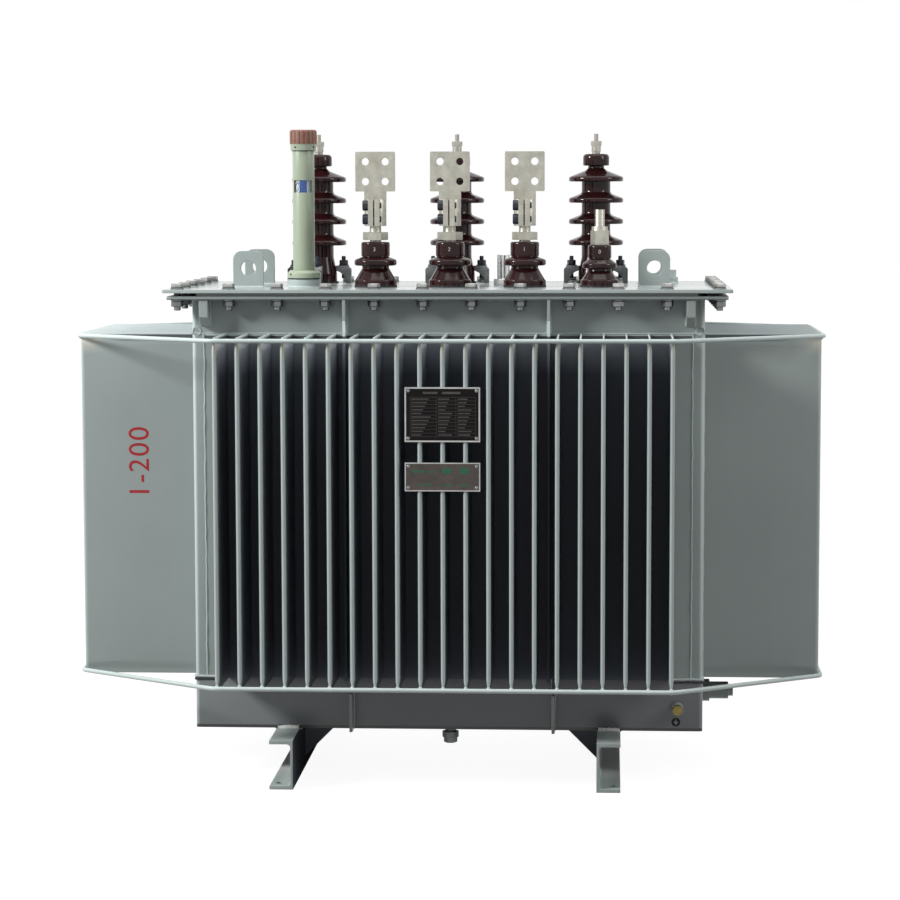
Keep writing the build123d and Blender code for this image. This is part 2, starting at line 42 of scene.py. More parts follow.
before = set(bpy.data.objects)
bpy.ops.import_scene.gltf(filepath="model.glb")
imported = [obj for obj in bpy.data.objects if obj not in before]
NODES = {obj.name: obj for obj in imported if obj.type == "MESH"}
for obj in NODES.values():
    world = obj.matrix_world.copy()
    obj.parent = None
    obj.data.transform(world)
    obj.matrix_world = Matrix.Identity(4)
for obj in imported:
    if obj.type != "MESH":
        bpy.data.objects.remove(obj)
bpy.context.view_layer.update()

import math

import bmesh
import bpy
from mathutils import Matrix, Vector

BOXES = {node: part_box(node) for node in NODES}

QUARTER = math.pi / 2
TO_FRONT = Matrix.Rotation(QUARTER, 4, "X")
SHEET = 0.006
BOLT_RADIUS = 0.0078
PLATE_FACE_DEPTH = 0.0003
PRINT_DEPTH = 0.0002
LV_FOOT_RADIUS, NEUTRAL_FOOT_RADIUS = 0.048, 0.043
LV_RADIUS, NEUTRAL_RADIUS = 0.0325, 0.0265

# Painted shade deep between the fins.
VALLEY_PAINTED_SHADE = (0.135, 0.147, 0.196)
# Painted light high in the fin valleys.
VALLEY_TOP_PAINTED_LIGHT = (0.66, 0.70, 0.75)
# Painted shade just below the fins' top seams.
SEAM_PAINTED_SHADE = (0.035, 0.037, 0.042)
# Painted highlight on the fins' pinched tops.
PINCH_PAINTED_HIGHLIGHT = (0.66, 0.65, 0.57)
# Painted shade on the bands below the fin valleys.
BAND_PAINTED_SHADE = (0.058, 0.052, 0.055)
# Painted shade on the lower band towards its middle.
BAND_MIDDLE_PAINTED_SHADE = (0.040, 0.028, 0.040)
# Painted shade along the band's lower edge.
EDGE_PAINTED_SHADE = (0.012, 0.012, 0.013)
# Painted shade along the joints of thin plates.
JOINT_PAINTED_SHADE = (0.02, 0.022, 0.024)
# Painted light on ledges below the tank.
LEDGE_PAINTED_LIGHT = (0.90, 0.90, 0.88)
# Painted light on the tops of zinc heads.
ZINC_TOP_PAINTED_LIGHT = (0.66, 0.65, 0.61)


def span(node):
    """The low corner and the high corner of a frame node."""
    return BOXES[node]


def middle(node):
    low, high = span(node)
    return (low + high) / 2


def standing(node, lift=0.0):
    """The place on a node's axis at the height of its foot, or above it."""
    centre = middle(node)
    return Matrix.Translation((centre.x, centre.y, span(node)[0].z + lift))


# Finishes

def shade(color, amount):
    """A colour made lighter (over 1) or darker (under 1)."""
    return tuple(min(1.0, part * amount) for part in color[:3])


class Tree:
    """A node tree; each call adds a node and returns the socket that the node puts out."""

    def __init__(self, tree):
        self.tree = tree

    def feed(self, socket, value):
        if isinstance(value, bpy.types.NodeSocket):
            self.tree.links.new(value, socket)
        else:
            socket.default_value = value

    def node(self, kind, inputs, output=0, **settings):
        made = self.tree.nodes.new(kind)
        for name, value in settings.items():
            setattr(made, name, value)
        for name, value in inputs.items():
            self.feed(made.inputs[name], value)
        return made.outputs[output]

    def math(self, operation, first, second=0.0):
        return self.node("ShaderNodeMath", {0: first, 1: second}, operation=operation)

    def product(self, first, *factors):
        for factor in factors:
            first = self.math("MULTIPLY", first, factor)
        return first


class Finish(Tree):
    """A material on the piece's own coordinates. Noises are (scale, detail, roughness)."""

    def __init__(self, color, roughness=0.5, metallic=0.0, shine=0.5):
        self.material = bpy.data.materials.new("finish")
        self.material.use_nodes = True
        super().__init__(self.material.node_tree)
        self.color = self.material.diffuse_color = (*color[:3], 1.0)
        self.shader = self.tree.nodes["Principled BSDF"].inputs
        for name, value in (("Base Color", self.color), ("Roughness", roughness), ("Metallic", metallic),
                            ("Specular IOR Level", shine)):
            self.shader[name].default_value = value
        self.place = self.node("ShaderNodeTexCoord", {}, output="Object")

    def noise(self, scale, detail=3.0, roughness=0.55, place=None):
        return self.node("ShaderNodeTexNoise", {
            "Vector": place or self.place, "Scale": scale, "Detail": detail, "Roughness": roughness})

    def stretched(self, stretch):
        return self.node("ShaderNodeMapping", {"Vector": self.place, "Scale": stretch})

    def levels(self, value, low, high, to_low=0.0, to_high=1.0):
        """Stretch the range low..high of a value to another range, and hold it there."""
        return self.node("ShaderNodeMapRange", {
            "Value": value, "From Min": low, "From Max": high, "To Min": to_low, "To Max": to_high})

    def axis(self, name):
        return self.node("ShaderNodeSeparateXYZ", {0: self.place}, output=name)

    def distance(self, name):
        return self.math("ABSOLUTE", self.axis(name))

    def blend(self, share, first, second):
        """Paint a blend of two tones over all that the surface has so far."""
        self.feed(self.shader["Base Color"], self.node(
            "ShaderNodeMix", {0: share, 6: first, 7: second}, output=2, data_type="RGBA", blend_type="MIX"))

    def tint(self, share, color):
        """Lay a colour over what the surface has so far."""
        links = self.shader["Base Color"].links
        self.blend(share, links[0].from_socket if links else self.color, (*color, 1.0))

    def clouds(self, noise, low, high, dark, pale):
        """Paint two shades of the finish's colour, mixed by a noise."""
        self.blend(self.levels(self.noise(*noise), low, high),
                   (*shade(self.color, dark), 1), (*shade(self.color, pale), 1))

    def stains(self, noise, low, high, share, color):
        self.tint(self.levels(self.noise(*noise), low, high, 0, share), color)

    def worn(self, noise, low, high, smoothest, dullest):
        self.feed(self.shader["Roughness"], self.levels(self.noise(*noise), low, high, smoothest, dullest))

    def bump(self, height, strength, distance):
        before = self.shader["Normal"].links
        inputs = {"Height": height, "Strength": strength, "Distance": distance}
        if before:
            inputs["Normal"] = before[0].from_socket
        self.feed(self.shader["Normal"], self.node("ShaderNodeBump", inputs))

    def grain(self, noise, strength, distance):
        self.bump(self.noise(*noise), strength, distance)


def tank_paint(color, gloss=0.36, grime=0.5, shine=0.5):
    """Sprayed satin enamel: soft cloudy tone, faint runs, dust, specks and orange peel."""
    finish = Finish(color, gloss, shine=shine)
    finish.clouds((2.3, 4, 0.6), 0.32, 0.68, 0.94, 1.05)
    finish.stains((5, 4, 0.6, finish.stretched((9, 9, 0.7))), 0.45, 0.8, 0.10, shade(color, 0.80))
    for noise, low, high, share, dirt in (((38, 3, 0.6), 0.45, 0.75, 0.10, (0.50, 0.47, 0.40)),
                                          ((420, 2, 0.5), 0.70, 0.76, 0.35, (0.16, 0.15, 0.13))):
        finish.tint(finish.product(finish.levels(finish.noise(*noise), low, high), share * grime), dirt)
    finish.worn((11, 4, 0.6), 0.3, 0.75, gloss - 0.02, gloss + 0.06)
    finish.grain((260, 2, 0.5), 0.10, 0.0006)
    return finish


def fin_paint(color, gloss, outward, half_row, tip, top, top_share):
    """Tank enamel with painted highlights on fin tips, pinched tops and top seams; painted light and shade in the
    valleys.
    """
    finish = tank_paint(color, gloss, 0.2)
    reach, across = finish.distance(outward), finish.distance("X" if outward == "Y" else "Y")
    height = finish.axis("Z")
    inside = finish.levels(across, half_row - 0.002, half_row, 1.0, 0.0)
    depth = finish.levels(reach, tip - 0.055, tip - 0.006, 1.0, 0.0)
    valley = finish.product(depth, inside, finish.levels(height, top - 0.060, top - 0.004, 0.76, top_share))
    # Painted shade deep between the fins, fading towards their tops.
    finish.tint(valley, VALLEY_PAINTED_SHADE)
    # Painted light high in the valleys, where light falls in from above.
    finish.tint(finish.product(finish.levels(height, top - 0.090, top - 0.020, 0.0, 0.75), depth, inside), VALLEY_TOP_PAINTED_LIGHT)
    # Painted shade on the valley sheet just below the fins' top seams.
    finish.tint(finish.product(finish.levels(height, top - 0.022, top - 0.013),
                               finish.levels(reach, tip - 0.100, tip - 0.060, 0.85, 0.0)), SEAM_PAINTED_SHADE)
    # Painted highlight on the fins' round tips.
    finish.tint(finish.levels(reach, tip - 0.009, tip - 0.003, 0.0, 0.6), shade(color, 2.0))
    # Painted highlight where the fins' pinched tops face the light, below the rod.
    finish.tint(finish.product(finish.levels(height, top - 0.050, top - 0.020),
                               finish.levels(reach, tip - 0.060, tip - 0.015), 0.8), PINCH_PAINTED_HIGHLIGHT)
    # Painted highlight along the fins' top seams, which face the light above.
    finish.tint(finish.levels(height, top - 0.0055, top - 0.0030, 0.0, 0.9), shade(color, 2.7))
    finish.feed(finish.shader["Specular IOR Level"], finish.levels(valley, 0.0, 0.76, 0.5, 0.05))
    return finish


def band_paint(color, gloss, corner, rows, row_bottom, bottom):
    """Tank enamel with a painted highlight and worn paint on the corners, and painted shade below the valleys and at
    the bottom.
    """
    finish = tank_paint(color, gloss, 0.4)
    along, across, height = finish.distance("X"), finish.distance("Y"), finish.axis("Z")
    # Pale corners: a painted highlight on the rounded corners, with worn paint.
    finish.tint(finish.product(finish.levels(along, corner.x - 0.010, corner.x - 0.005),
                               finish.levels(across, corner.y - 0.010, corner.y - 0.005), 0.7), shade(color, 2.1))
    # Painted shade on the band behind the fins, below the valleys.
    shadowed = finish.levels(height, row_bottom - 0.020, row_bottom + 0.004, 0.0, 0.75)
    inside = finish.math("MAXIMUM", finish.levels(along, rows.x - 0.002, rows.x, 1.0, 0.0),
                         finish.levels(across, rows.y - 0.002, rows.y, 1.0, 0.0))
    finish.tint(finish.product(shadowed, inside), BAND_PAINTED_SHADE)
    # Painted shade: the lower band darker from its left part towards the middle and right.
    if bottom:
        finish.tint(finish.levels(finish.axis("X"), -rows.x, -0.2 * rows.x, 0.10, 0.48), BAND_MIDDLE_PAINTED_SHADE)
    # Painted shade along the lower edge.
    finish.tint(finish.levels(height, bottom + 0.0060, bottom + 0.0085, 0.95, 0.0), EDGE_PAINTED_SHADE)
    return finish


def joint_paint(color, gloss, low, high, dark_below, dark_above, pale):
    """Enamel on the edge of a thin plate: painted shade along its joints above and below, painted light on its upper
    part.
    """
    finish = tank_paint(color, gloss, 0.5)
    height, thick = finish.axis("Z"), high - low
    # Painted light on the upper part of the edge.
    finish.tint(finish.levels(height, low + 0.30 * thick, low + 0.55 * thick, 0.0, pale), shade(color, 2.1))
    # Painted shade along the joints below and above.
    finish.tint(finish.levels(height, low + 0.10 * thick, low + 0.30 * thick, dark_below, 0.0), JOINT_PAINTED_SHADE)
    finish.tint(finish.levels(height, high - 0.35 * thick, high - 0.15 * thick, 0.0, dark_above), JOINT_PAINTED_SHADE)
    return finish


def lit_ledge_paint(color, front):
    """Enamel of a flat ledge with painted light, paler and patchy the deeper it lies below the tank."""
    finish = tank_paint(color, 0.6, 1.2, 0.2)
    # Painted light, paler the deeper the ledge lies in the tank's shadow.
    lit_deeper = finish.levels(finish.axis("Y"), front - 0.05, front + 0.12, 0.0, 0.9)
    patchy = finish.levels(finish.noise(30, 4, 0.6), 0.2, 0.6, 0.75, 1.0)
    finish.tint(finish.product(lit_deeper, patchy), LEDGE_PAINTED_LIGHT)
    return finish


def glaze(color):
    """Brown glazed porcelain: deep gloss, uneven glaze and small pits."""
    finish = Finish(color, 0.07, shine=0.22)
    finish.clouds((16, 4, 0.6), 0.35, 0.7, 0.72, 1.35)
    finish.stains((60, 3, 0.6), 0.62, 0.8, 0.4, (0.05, 0.016, 0.012))
    finish.stains((900, 1, 0.5), 0.74, 0.8, 0.35, (0.02, 0.015, 0.015))
    finish.shader["Coat Weight"].default_value = 0.08
    finish.shader["Coat Roughness"].default_value = 0.04
    finish.worn((24, 3, 0.6), 0.3, 0.8, 0.06, 0.16)
    finish.grain((42, 2, 0.5), 0.10, 0.0012)
    finish.grain((700, 1, 0.5), 0.06, 0.0002)
    return finish


def bare_metal(color, roughness, stain, share=0.5, brushed=(1, 1, 1), metallic=1.0, painted_light_above=None, grain=0.12):
    """Zinc, tin or brass: uneven tone, dull stains, fine marks along one direction, painted light above a height."""
    finish = Finish(color, roughness, metallic)
    finish.clouds((55, 4, 0.65), 0.3, 0.7, 0.80, 1.08)
    finish.stains((24, 5, 0.7), 0.52, 0.74, share, stain)
    # Painted light on what stands above the given height.
    if painted_light_above is not None:
        finish.tint(finish.levels(finish.axis("Z"), painted_light_above, painted_light_above + 0.004, 0.0, 0.5), ZINC_TOP_PAINTED_LIGHT)
    marks = finish.noise(160, 3, 0.6, finish.stretched(brushed))
    finish.feed(finish.shader["Roughness"], finish.levels(marks, 0.3, 0.75, roughness - 0.10, roughness + 0.16))
    finish.bump(marks, grain, 0.0004)
    return finish


def threaded_metal(color, roughness, pitch):
    """A stud: the thread is a saw of ridges up the height, and dull in its grooves."""
    finish = Finish(color, roughness, 1.0)
    groove = finish.levels(finish.math("PINGPONG", finish.axis("Z"), pitch), 0.0, pitch)
    finish.blend(groove, (*shade(color, 0.65), 1), (*color, 1))
    finish.stains((30, 4, 0.7), 0.55, 0.75, 0.4, shade(color, 0.6))
    finish.feed(finish.shader["Roughness"], finish.levels(groove, 0, 1, roughness + 0.25, roughness))
    finish.bump(groove, 0.3, 0.0005)
    return finish


def cast_iron(color):
    """Dark castings with a sandy skin and worn, paler high spots."""
    finish = Finish(color, 0.5, 0.55)
    finish.clouds((30, 5, 0.65), 0.35, 0.7, 0.6, 1.5)
    finish.worn((90, 3, 0.6), 0.3, 0.7, 0.34, 0.62)
    finish.grain((350, 3, 0.6), 0.35, 0.0008)
    return finish


def gasket_rubber(color):
    """Black nitrile sheet seen on its cut edge: matt, with grey dust."""
    finish = Finish(color, 0.75)
    finish.clouds((80, 4, 0.6), 0.4, 0.75, 1, 2.2)
    finish.worn((120, 3), 0.3, 0.7, 0.65, 0.85)
    finish.grain((500, 2), 0.25, 0.0004)
    return finish


def moulded_plastic(color, shine=0.5):
    """Moulded or printed plastic: slightly mottled, satin, a little faded."""
    finish = Finish(color, 0.5, shine=shine)
    finish.clouds((60, 4, 0.6), 0.35, 0.7, 0.84, 1.15)
    finish.stains((150, 3), 0.6, 0.75, 0.25, shade(color, 1.9))
    finish.worn((90, 2), 0.3, 0.7, 0.42, 0.6)
    finish.grain((420, 2), 0.15, 0.0003)
    return finish


def sight_glass():
    """Clear tube of the gauge, faintly blue, with a smear of oil inside."""
    clear, oily = (0.86, 0.93, 0.97, 1), (0.74, 0.80, 0.80, 1)
    finish = Finish(clear, 0.06)
    finish.shader["Transmission Weight"].default_value = 1.0
    finish.shader["IOR"].default_value = 1.46
    finish.blend(finish.levels(finish.noise(45, 3), 0.4, 0.8), clear, oily)
    finish.worn((80, 3), 0.4, 0.8, 0.04, 0.16)
    finish.grain((50, 2), 0.04, 0.0004)
    return finish


# Shapes

def smooth(mesh, angle=32):
    """Shade smooth, with edges past an angle kept sharp."""
    mesh.polygons.foreach_set("use_smooth", [True] * len(mesh.polygons))
    mesh.set_sharp_from_angle(angle=math.radians(angle))
    return mesh


def circle(radius, count):
    """Points on a circle, anticlockwise."""
    return [(radius * math.cos(turn), radius * math.sin(turn))
            for turn in (math.tau * step / count for step in range(count))]


def corners(left, near, right, far):
    """A rectangle, anticlockwise."""
    return [(left, near), (right, near), (right, far), (left, far)]


def collar(outer, width, low, high):
    """The (radius, height) outline of a flat ring."""
    return corners(outer - width, low, outer, high)


class Shape:
    """A mesh under construction, in metres; faces point outwards."""

    def __init__(self):
        self.bm = bmesh.new()

    def skin(self, rings, at=Matrix(), looped=False):
        """Join a stack of rings with equal counts; the ends are closed unless the stack is a loop."""
        made = [[self.bm.verts.new(at @ Vector(point)) for point in ring] for ring in rings]
        for low, high in list(zip(made, made[1:])) + ([(made[-1], made[0])] if looped else []):
            for index, corner in enumerate(low):
                after = (index + 1) % len(low)
                self.bm.faces.new((corner, low[after], high[after], high[index]))
        if not looped:
            self.bm.faces.new(made[0][::-1])
            self.bm.faces.new(made[-1])
        return self

    def turned(self, outline, at=Matrix(), segments=40):
        """Revolve (radius, height) points about Z, from the bottom to the top."""
        around = circle(1, segments)
        return self.skin([[(radius * x, radius * y, height) for x, y in around]
                          for radius, height in outline if radius > 0], at)

    def hexagon(self, across, low, high, at=Matrix(), chamfer=0.12):
        """A hexagon head or nut with its corners turned off at both faces."""
        cut, corner = across * chamfer / 2, across / 2 / math.cos(math.pi / 6)
        return self.turned([(across / 2, low), (corner, low + cut), (corner, high - cut), (across / 2 * 0.97, high)],
                           at, 6)

    def prism(self, outline, low, high, at=Matrix()):
        """A flat outline, anticlockwise from above, given thickness along Z."""
        return self.skin([[(x, y, height) for x, y in outline] for height in (low, high)], at)

    def mesh(self, name, angle=32, bevel=0.0, segments=2):
        if bevel:
            sharp = [edge for edge in self.bm.edges if edge.calc_face_angle(0) > math.radians(angle)]
            bmesh.ops.bevel(self.bm, geom=sharp, offset=bevel, segments=segments, profile=0.7,
                            affect="EDGES", clamp_overlap=True)
        bmesh.ops.recalc_face_normals(self.bm, faces=self.bm.faces)
        mesh = bpy.data.meshes.new(name)
        self.bm.to_mesh(mesh)
        self.bm.free()
        return smooth(mesh, angle)


def bent(back, here, on, steps):
    """Points of a smooth bend from one point past a corner to another."""
    shares = [step / steps for step in range(steps + 1)]
    return [back.lerp(here, share).lerp(here.lerp(on, share), share) for share in shares]


def rounded(outline, steps=5):
    """An open outline of (x, y, radius) corners, with an arc of that radius at each corner."""
    points = []
    for index, (x, y, radius) in enumerate(outline):
        if index in (0, len(outline) - 1) or radius <= 0:
            points.append((x, y))
            continue
        here = Vector((x, y))
        back, on = (Vector(outline[index + side][:2]) - here for side in (-1, 1))
        reach = min(radius / math.tan(back.angle(on) / 2), back.length * 0.48, on.length * 0.48)
        bend = bent(here + back.normalized() * reach, here, here + on.normalized() * reach, steps)
        points += [tuple(point) for point in bend]
    return points


def bars(rows, depth, y):
    """Thin flat bars on an upright face that looks along -Y, from (x0, z0, x1, z1) rows."""
    shape = Shape()
    for row in rows:
        shape.skin([[(x, level, z) for x, z in corners(*row)] for level in (y, y - depth)])
    return shape


def linked(name, data):
    """A new object in the scene."""
    made = bpy.data.objects.new(name, data)
    bpy.context.scene.collection.objects.link(made)
    return made


def put(name, form, finish=None, replaces=(), angle=32, bevel=0.0):
    """Make a shape or a finished mesh a piece of the transformer that rides on its frame."""
    mesh = form.mesh(name, angle, bevel) if isinstance(form, Shape) else form
    if finish:
        mesh.materials.append(finish_named(finish))
    piece = linked(name, mesh)
    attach(piece, "root")
    if replaces:
        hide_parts(*replaces)


def softened(node, finish, bevel=0.0012, segments=2, angle=32, zones=()):
    """A copy of a frame node with its flat faces joined and its sharp edges slightly rounded.

    Zones are (test, finish) pairs: faces whose middle passes a test take that finish.
    """
    shape = Shape()
    shape.bm.from_mesh(NODES[node].data)
    bmesh.ops.remove_doubles(shape.bm, verts=shape.bm.verts, dist=0.00002)
    bmesh.ops.dissolve_limit(shape.bm, angle_limit=math.radians(1.0), verts=shape.bm.verts, edges=shape.bm.edges)
    mesh = shape.mesh(node + "_finished", angle, bevel, segments)
    for each in (finish, *(zone_finish for _, zone_finish in zones)):
        mesh.materials.append(finish_named(each))
    for polygon in mesh.polygons:
        for index, (test, _) in enumerate(zones, start=1):
            if test(polygon.center):
                polygon.material_index = index
    put(node + "_finished", mesh, replaces=(node,))


# Patterns

class Pattern(Tree):
    """A geometry node tree with named inputs, given as (label, kind, value)."""

    def __init__(self, name, inputs):
        super().__init__(bpy.data.node_groups.new(name, "GeometryNodeTree"))
        sockets = self.tree.interface
        sockets.new_socket("Geometry", in_out="INPUT", socket_type="NodeSocketGeometry")
        for label, kind, value in inputs:
            made = sockets.new_socket(label, in_out="INPUT", socket_type="NodeSocket" + kind)
            if value is not None:
                made.default_value = value
        sockets.new_socket("Geometry", in_out="OUTPUT", socket_type="NodeSocketGeometry")
        self.given = self.tree.nodes.new("NodeGroupInput").outputs
        self.result = self.tree.nodes.new("NodeGroupOutput").inputs[0]

    def reach(self, count, pitch):
        """The length of a row of points."""
        return self.product(self.math("SUBTRACT", self.given[count], 1.0), self.given[pitch])

    def finish(self, geometry):
        """Put the geometry in its place, if the pattern has one, make it real and give it the material."""
        if "Centre" in self.given:
            geometry = self.node("GeometryNodeTransform", {
                "Geometry": geometry, "Translation": self.given["Centre"], "Rotation": self.given["Facing"]})
        real = self.node("GeometryNodeRealizeInstances", {"Geometry": geometry})
        coated = self.node("GeometryNodeSetMaterial", {"Geometry": real, "Material": self.given["Material"]})
        self.feed(self.result, coated)
        return self.tree


def grown(name, seed_mesh, tree, values, angle=32, replaces=()):
    """Run a pattern on a mesh and put the result in the scene as a plain mesh."""
    holder = linked(name + "_pattern", seed_mesh)
    modifier = holder.modifiers.new("Pattern", "NODES")
    modifier.node_group = tree
    for item in tree.interface.items_tree:
        if item.item_type == "SOCKET" and item.in_out == "INPUT" and item.name in values:
            modifier[item.identifier] = values[item.name]
    graph = bpy.context.evaluated_depsgraph_get()
    mesh = bpy.data.meshes.new_from_object(holder.evaluated_get(graph), depsgraph=graph)
    holder.modifiers.remove(modifier)
    bpy.data.objects.remove(holder)
    if not mesh.polygons:
        raise RuntimeError(f"the pattern for {name} made nothing")
    mesh.name = name
    put(name, smooth(mesh, angle), replaces=replaces)


def repeated_grid():
    """Copies of the incoming mesh on a grid, each turned a little, then the grid put in place."""
    pattern = Pattern("Fastener grid", [
        ("Columns", "Int", 2), ("Rows", "Int", 2), ("Column spacing", "Float", 0.1),
        ("Row spacing", "Float", 0.1), ("Centre", "Vector", None), ("Facing", "Vector", None),
        ("Free turn", "Float", math.pi), ("Seed", "Int", 1), ("Material", "Material", None)])
    given = pattern.given
    grid = pattern.node("GeometryNodeMeshGrid", {
        "Size X": pattern.reach("Columns", "Column spacing"), "Size Y": pattern.reach("Rows", "Row spacing"),
        "Vertices X": given["Columns"], "Vertices Y": given["Rows"]})
    angle = pattern.node("FunctionNodeRandomValue", {2: 0.0, 3: given["Free turn"], "Seed": given["Seed"]},
                         output=1, data_type="FLOAT")
    return pattern.finish(pattern.node("GeometryNodeInstanceOnPoints", {
        "Points": grid, "Instance": given["Geometry"],
        "Rotation": pattern.node("ShaderNodeCombineXYZ", {"Z": angle})}))


def gridded(name, seed_mesh, tree, columns, rows, across, along, centre, finish, seed, facing=(0, 0, 0),
            angle=32):
    """Put a grid of copies in the scene."""
    grown(name, seed_mesh, tree, {
        "Columns": columns, "Rows": rows, "Column spacing": across, "Row spacing": along, "Centre": centre,
        "Facing": facing, "Seed": seed, "Material": finish_named(finish)}, angle)


def weld_run():
    """A weld bead along the incoming edges: a rounded run with ripples and an uneven width."""
    pattern = Pattern("Weld bead", [
        ("Bead radius", "Float", 0.003), ("Ripple length", "Float", 0.004), ("Unevenness", "Float", 0.25),
        ("Wander", "Float", 0.0008), ("Seed", "Int", 1), ("Material", "Material", None)])
    given = pattern.given
    path = pattern.node("GeometryNodeMeshToCurve", {"Mesh": given["Geometry"]})
    fine = pattern.node("GeometryNodeResampleCurve", {
        "Curve": path, "Length": pattern.product(given["Ripple length"], 0.5)}, mode="LENGTH")
    place = pattern.node("GeometryNodeInputPosition", {})

    def noise(scale, output=0):
        return pattern.node("ShaderNodeTexNoise", {"Vector": place, "W": given["Seed"], "Scale": scale},
                            output=output, noise_dimensions="4D")

    sway = pattern.node("ShaderNodeVectorMath", {0: noise(28.0, "Color"), 1: (0.5, 0.5, 0.5)}, operation="SUBTRACT")
    reach = pattern.product(given["Wander"], 2.0)
    shift = pattern.node("ShaderNodeVectorMath", {0: sway, "Scale": reach}, operation="SCALE")
    waved = pattern.node("GeometryNodeSetPosition", {"Geometry": fine, "Offset": shift})
    index = pattern.node("GeometryNodeInputIndex", {})
    ripple = pattern.product(pattern.math("MODULO", index, 2.0), 0.22)
    uneven = pattern.product(pattern.math("SUBTRACT", noise(60.0), 0.5), given["Unevenness"])
    share = pattern.math("ADD", pattern.math("SUBTRACT", 1.0, ripple), uneven)
    section = pattern.node("GeometryNodeCurvePrimitiveCircle", {"Resolution": 7, "Radius": 1.0})
    return pattern.finish(pattern.node("GeometryNodeCurveToMesh", {
        "Curve": waved, "Profile Curve": section, "Scale": pattern.product(share, given["Bead radius"]),
        "Fill Caps": True}))


def fin_row():
    """Copies of the incoming fin on a line at one pitch, with the sheet's valleys between them."""
    pattern = Pattern("Fin row", [
        ("Count", "Int", 9), ("Pitch", "Float", 0.05), ("Sheet length", "Float", 0.5),
        ("Sheet thickness", "Float", 0.006), ("Sheet height", "Float", 0.777),
        ("Centre", "Vector", None), ("Facing", "Vector", None), ("Material", "Material", None)])
    given = pattern.given
    start = pattern.node("ShaderNodeCombineXYZ", {"X": pattern.product(pattern.reach("Count", "Pitch"), -0.5)})
    along = pattern.node("ShaderNodeCombineXYZ", {"X": given["Pitch"]})
    line = pattern.node("GeometryNodeMeshLine", {"Count": given["Count"], "Start Location": start, "Offset": along})
    fins = pattern.node("GeometryNodeInstanceOnPoints", {"Points": line, "Instance": given["Geometry"]})
    size = pattern.node("ShaderNodeCombineXYZ", {
        "X": given["Sheet length"], "Y": given["Sheet thickness"], "Z": given["Sheet height"]})
    sheet = pattern.node("GeometryNodeMeshCube", {"Size": size, "Vertices X": 24, "Vertices Z": 12})
    centre = pattern.node("ShaderNodeCombineXYZ", {
        "Y": pattern.product(given["Sheet thickness"], 0.5), "Z": pattern.product(given["Sheet height"], 0.5)})
    back = pattern.node("GeometryNodeTransform", {"Geometry": sheet, "Translation": centre})
    both = pattern.tree.nodes.new("GeometryNodeJoinGeometry")
    for part in (back, fins):
        pattern.feed(both.inputs[0], part)
    return pattern.finish(both.outputs[0])


# Settings a user would change

COLOR = {"subtype": "COLOR", "size": 3, "min": 0, "max": 1}


class TransformerFinishes(bpy.types.PropertyGroup):
    enamel: bpy.props.FloatVectorProperty(
        name="Enamel", description="Grey-green paint of the tank, fins, cover and feet",
        default=(0.303, 0.347, 0.338), **COLOR)
    gauge_enamel: bpy.props.FloatVectorProperty(
        name="Gauge enamel", description="Pale green paint of the oil gauge", default=(0.400, 0.460, 0.345), **COLOR)
    glaze: bpy.props.FloatVectorProperty(
        name="Glaze", description="Brown glaze of the porcelain", default=(0.026, 0.0068, 0.0075), **COLOR)
    tin: bpy.props.FloatVectorProperty(
        name="Tinned copper", description="Low-voltage flags, clamps and studs", default=(0.46, 0.45, 0.39), **COLOR)
    zinc: bpy.props.FloatVectorProperty(
        name="Zinc", description="Zinc-plated bolts, nuts and washers", default=(0.19, 0.20, 0.205), **COLOR)
    cap: bpy.props.FloatVectorProperty(
        name="Gauge cap", description="Moulded cap on the oil gauge", default=(0.265, 0.125, 0.090), **COLOR)
    mark: bpy.props.FloatVectorProperty(
        name="Mark", description="Stencilled numerals on the end fin", default=(0.36, 0.012, 0.018), **COLOR)
    gloss: bpy.props.FloatProperty(
        name="Enamel roughness", description="Roughness of the sprayed enamel", subtype="FACTOR",
        min=0.05, max=1, default=0.30)


class TransformerFins(bpy.types.PropertyGroup):
    pitch: bpy.props.FloatProperty(
        name="Pitch", description="Distance from fin to fin", unit="LENGTH", min=0.02, default=0.05)
    thickness: bpy.props.FloatProperty(
        name="Thickness", description="Thickness of a fin over its two sheets", unit="LENGTH", min=0.003,
        default=0.0095)
    seam: bpy.props.FloatProperty(
        name="Seam thickness", description="Thickness where the fin is pinched and welded shut", unit="LENGTH",
        min=0.001, default=0.003)
    pinch: bpy.props.FloatProperty(
        name="Pinch length", description="Height over which a fin thins towards its seam", unit="LENGTH", min=0.005,
        default=0.024)
    front_count: bpy.props.IntProperty(
        name="Front fins", description="Fins on the front and on the rear", min=2, default=21)
    end_count: bpy.props.IntProperty(name="End fins", description="Fins on each end", min=2, default=9)


class TransformerFasteners(bpy.types.PropertyGroup):
    spacing: bpy.props.FloatProperty(
        name="End bolt spacing", description="Distance between the cover bolts along the ends", unit="LENGTH",
        min=0.05, default=0.110)
    side_spacing: bpy.props.FloatProperty(
        name="Side bolt spacing", description="Distance between the cover bolts along the long sides", unit="LENGTH",
        min=0.05, default=0.1087)
    across: bpy.props.FloatProperty(
        name="Across flats", description="Width of the cover bolts' heads", unit="LENGTH", min=0.008, default=0.024)
    washer: bpy.props.FloatProperty(
        name="Washer radius", description="Radius of the washers under heads and nuts", unit="LENGTH", min=0.006,
        default=0.0150)
    bead: bpy.props.FloatProperty(
        name="Weld bead radius", description="Radius of the seam welds", unit="LENGTH", min=0.001, default=0.0030)


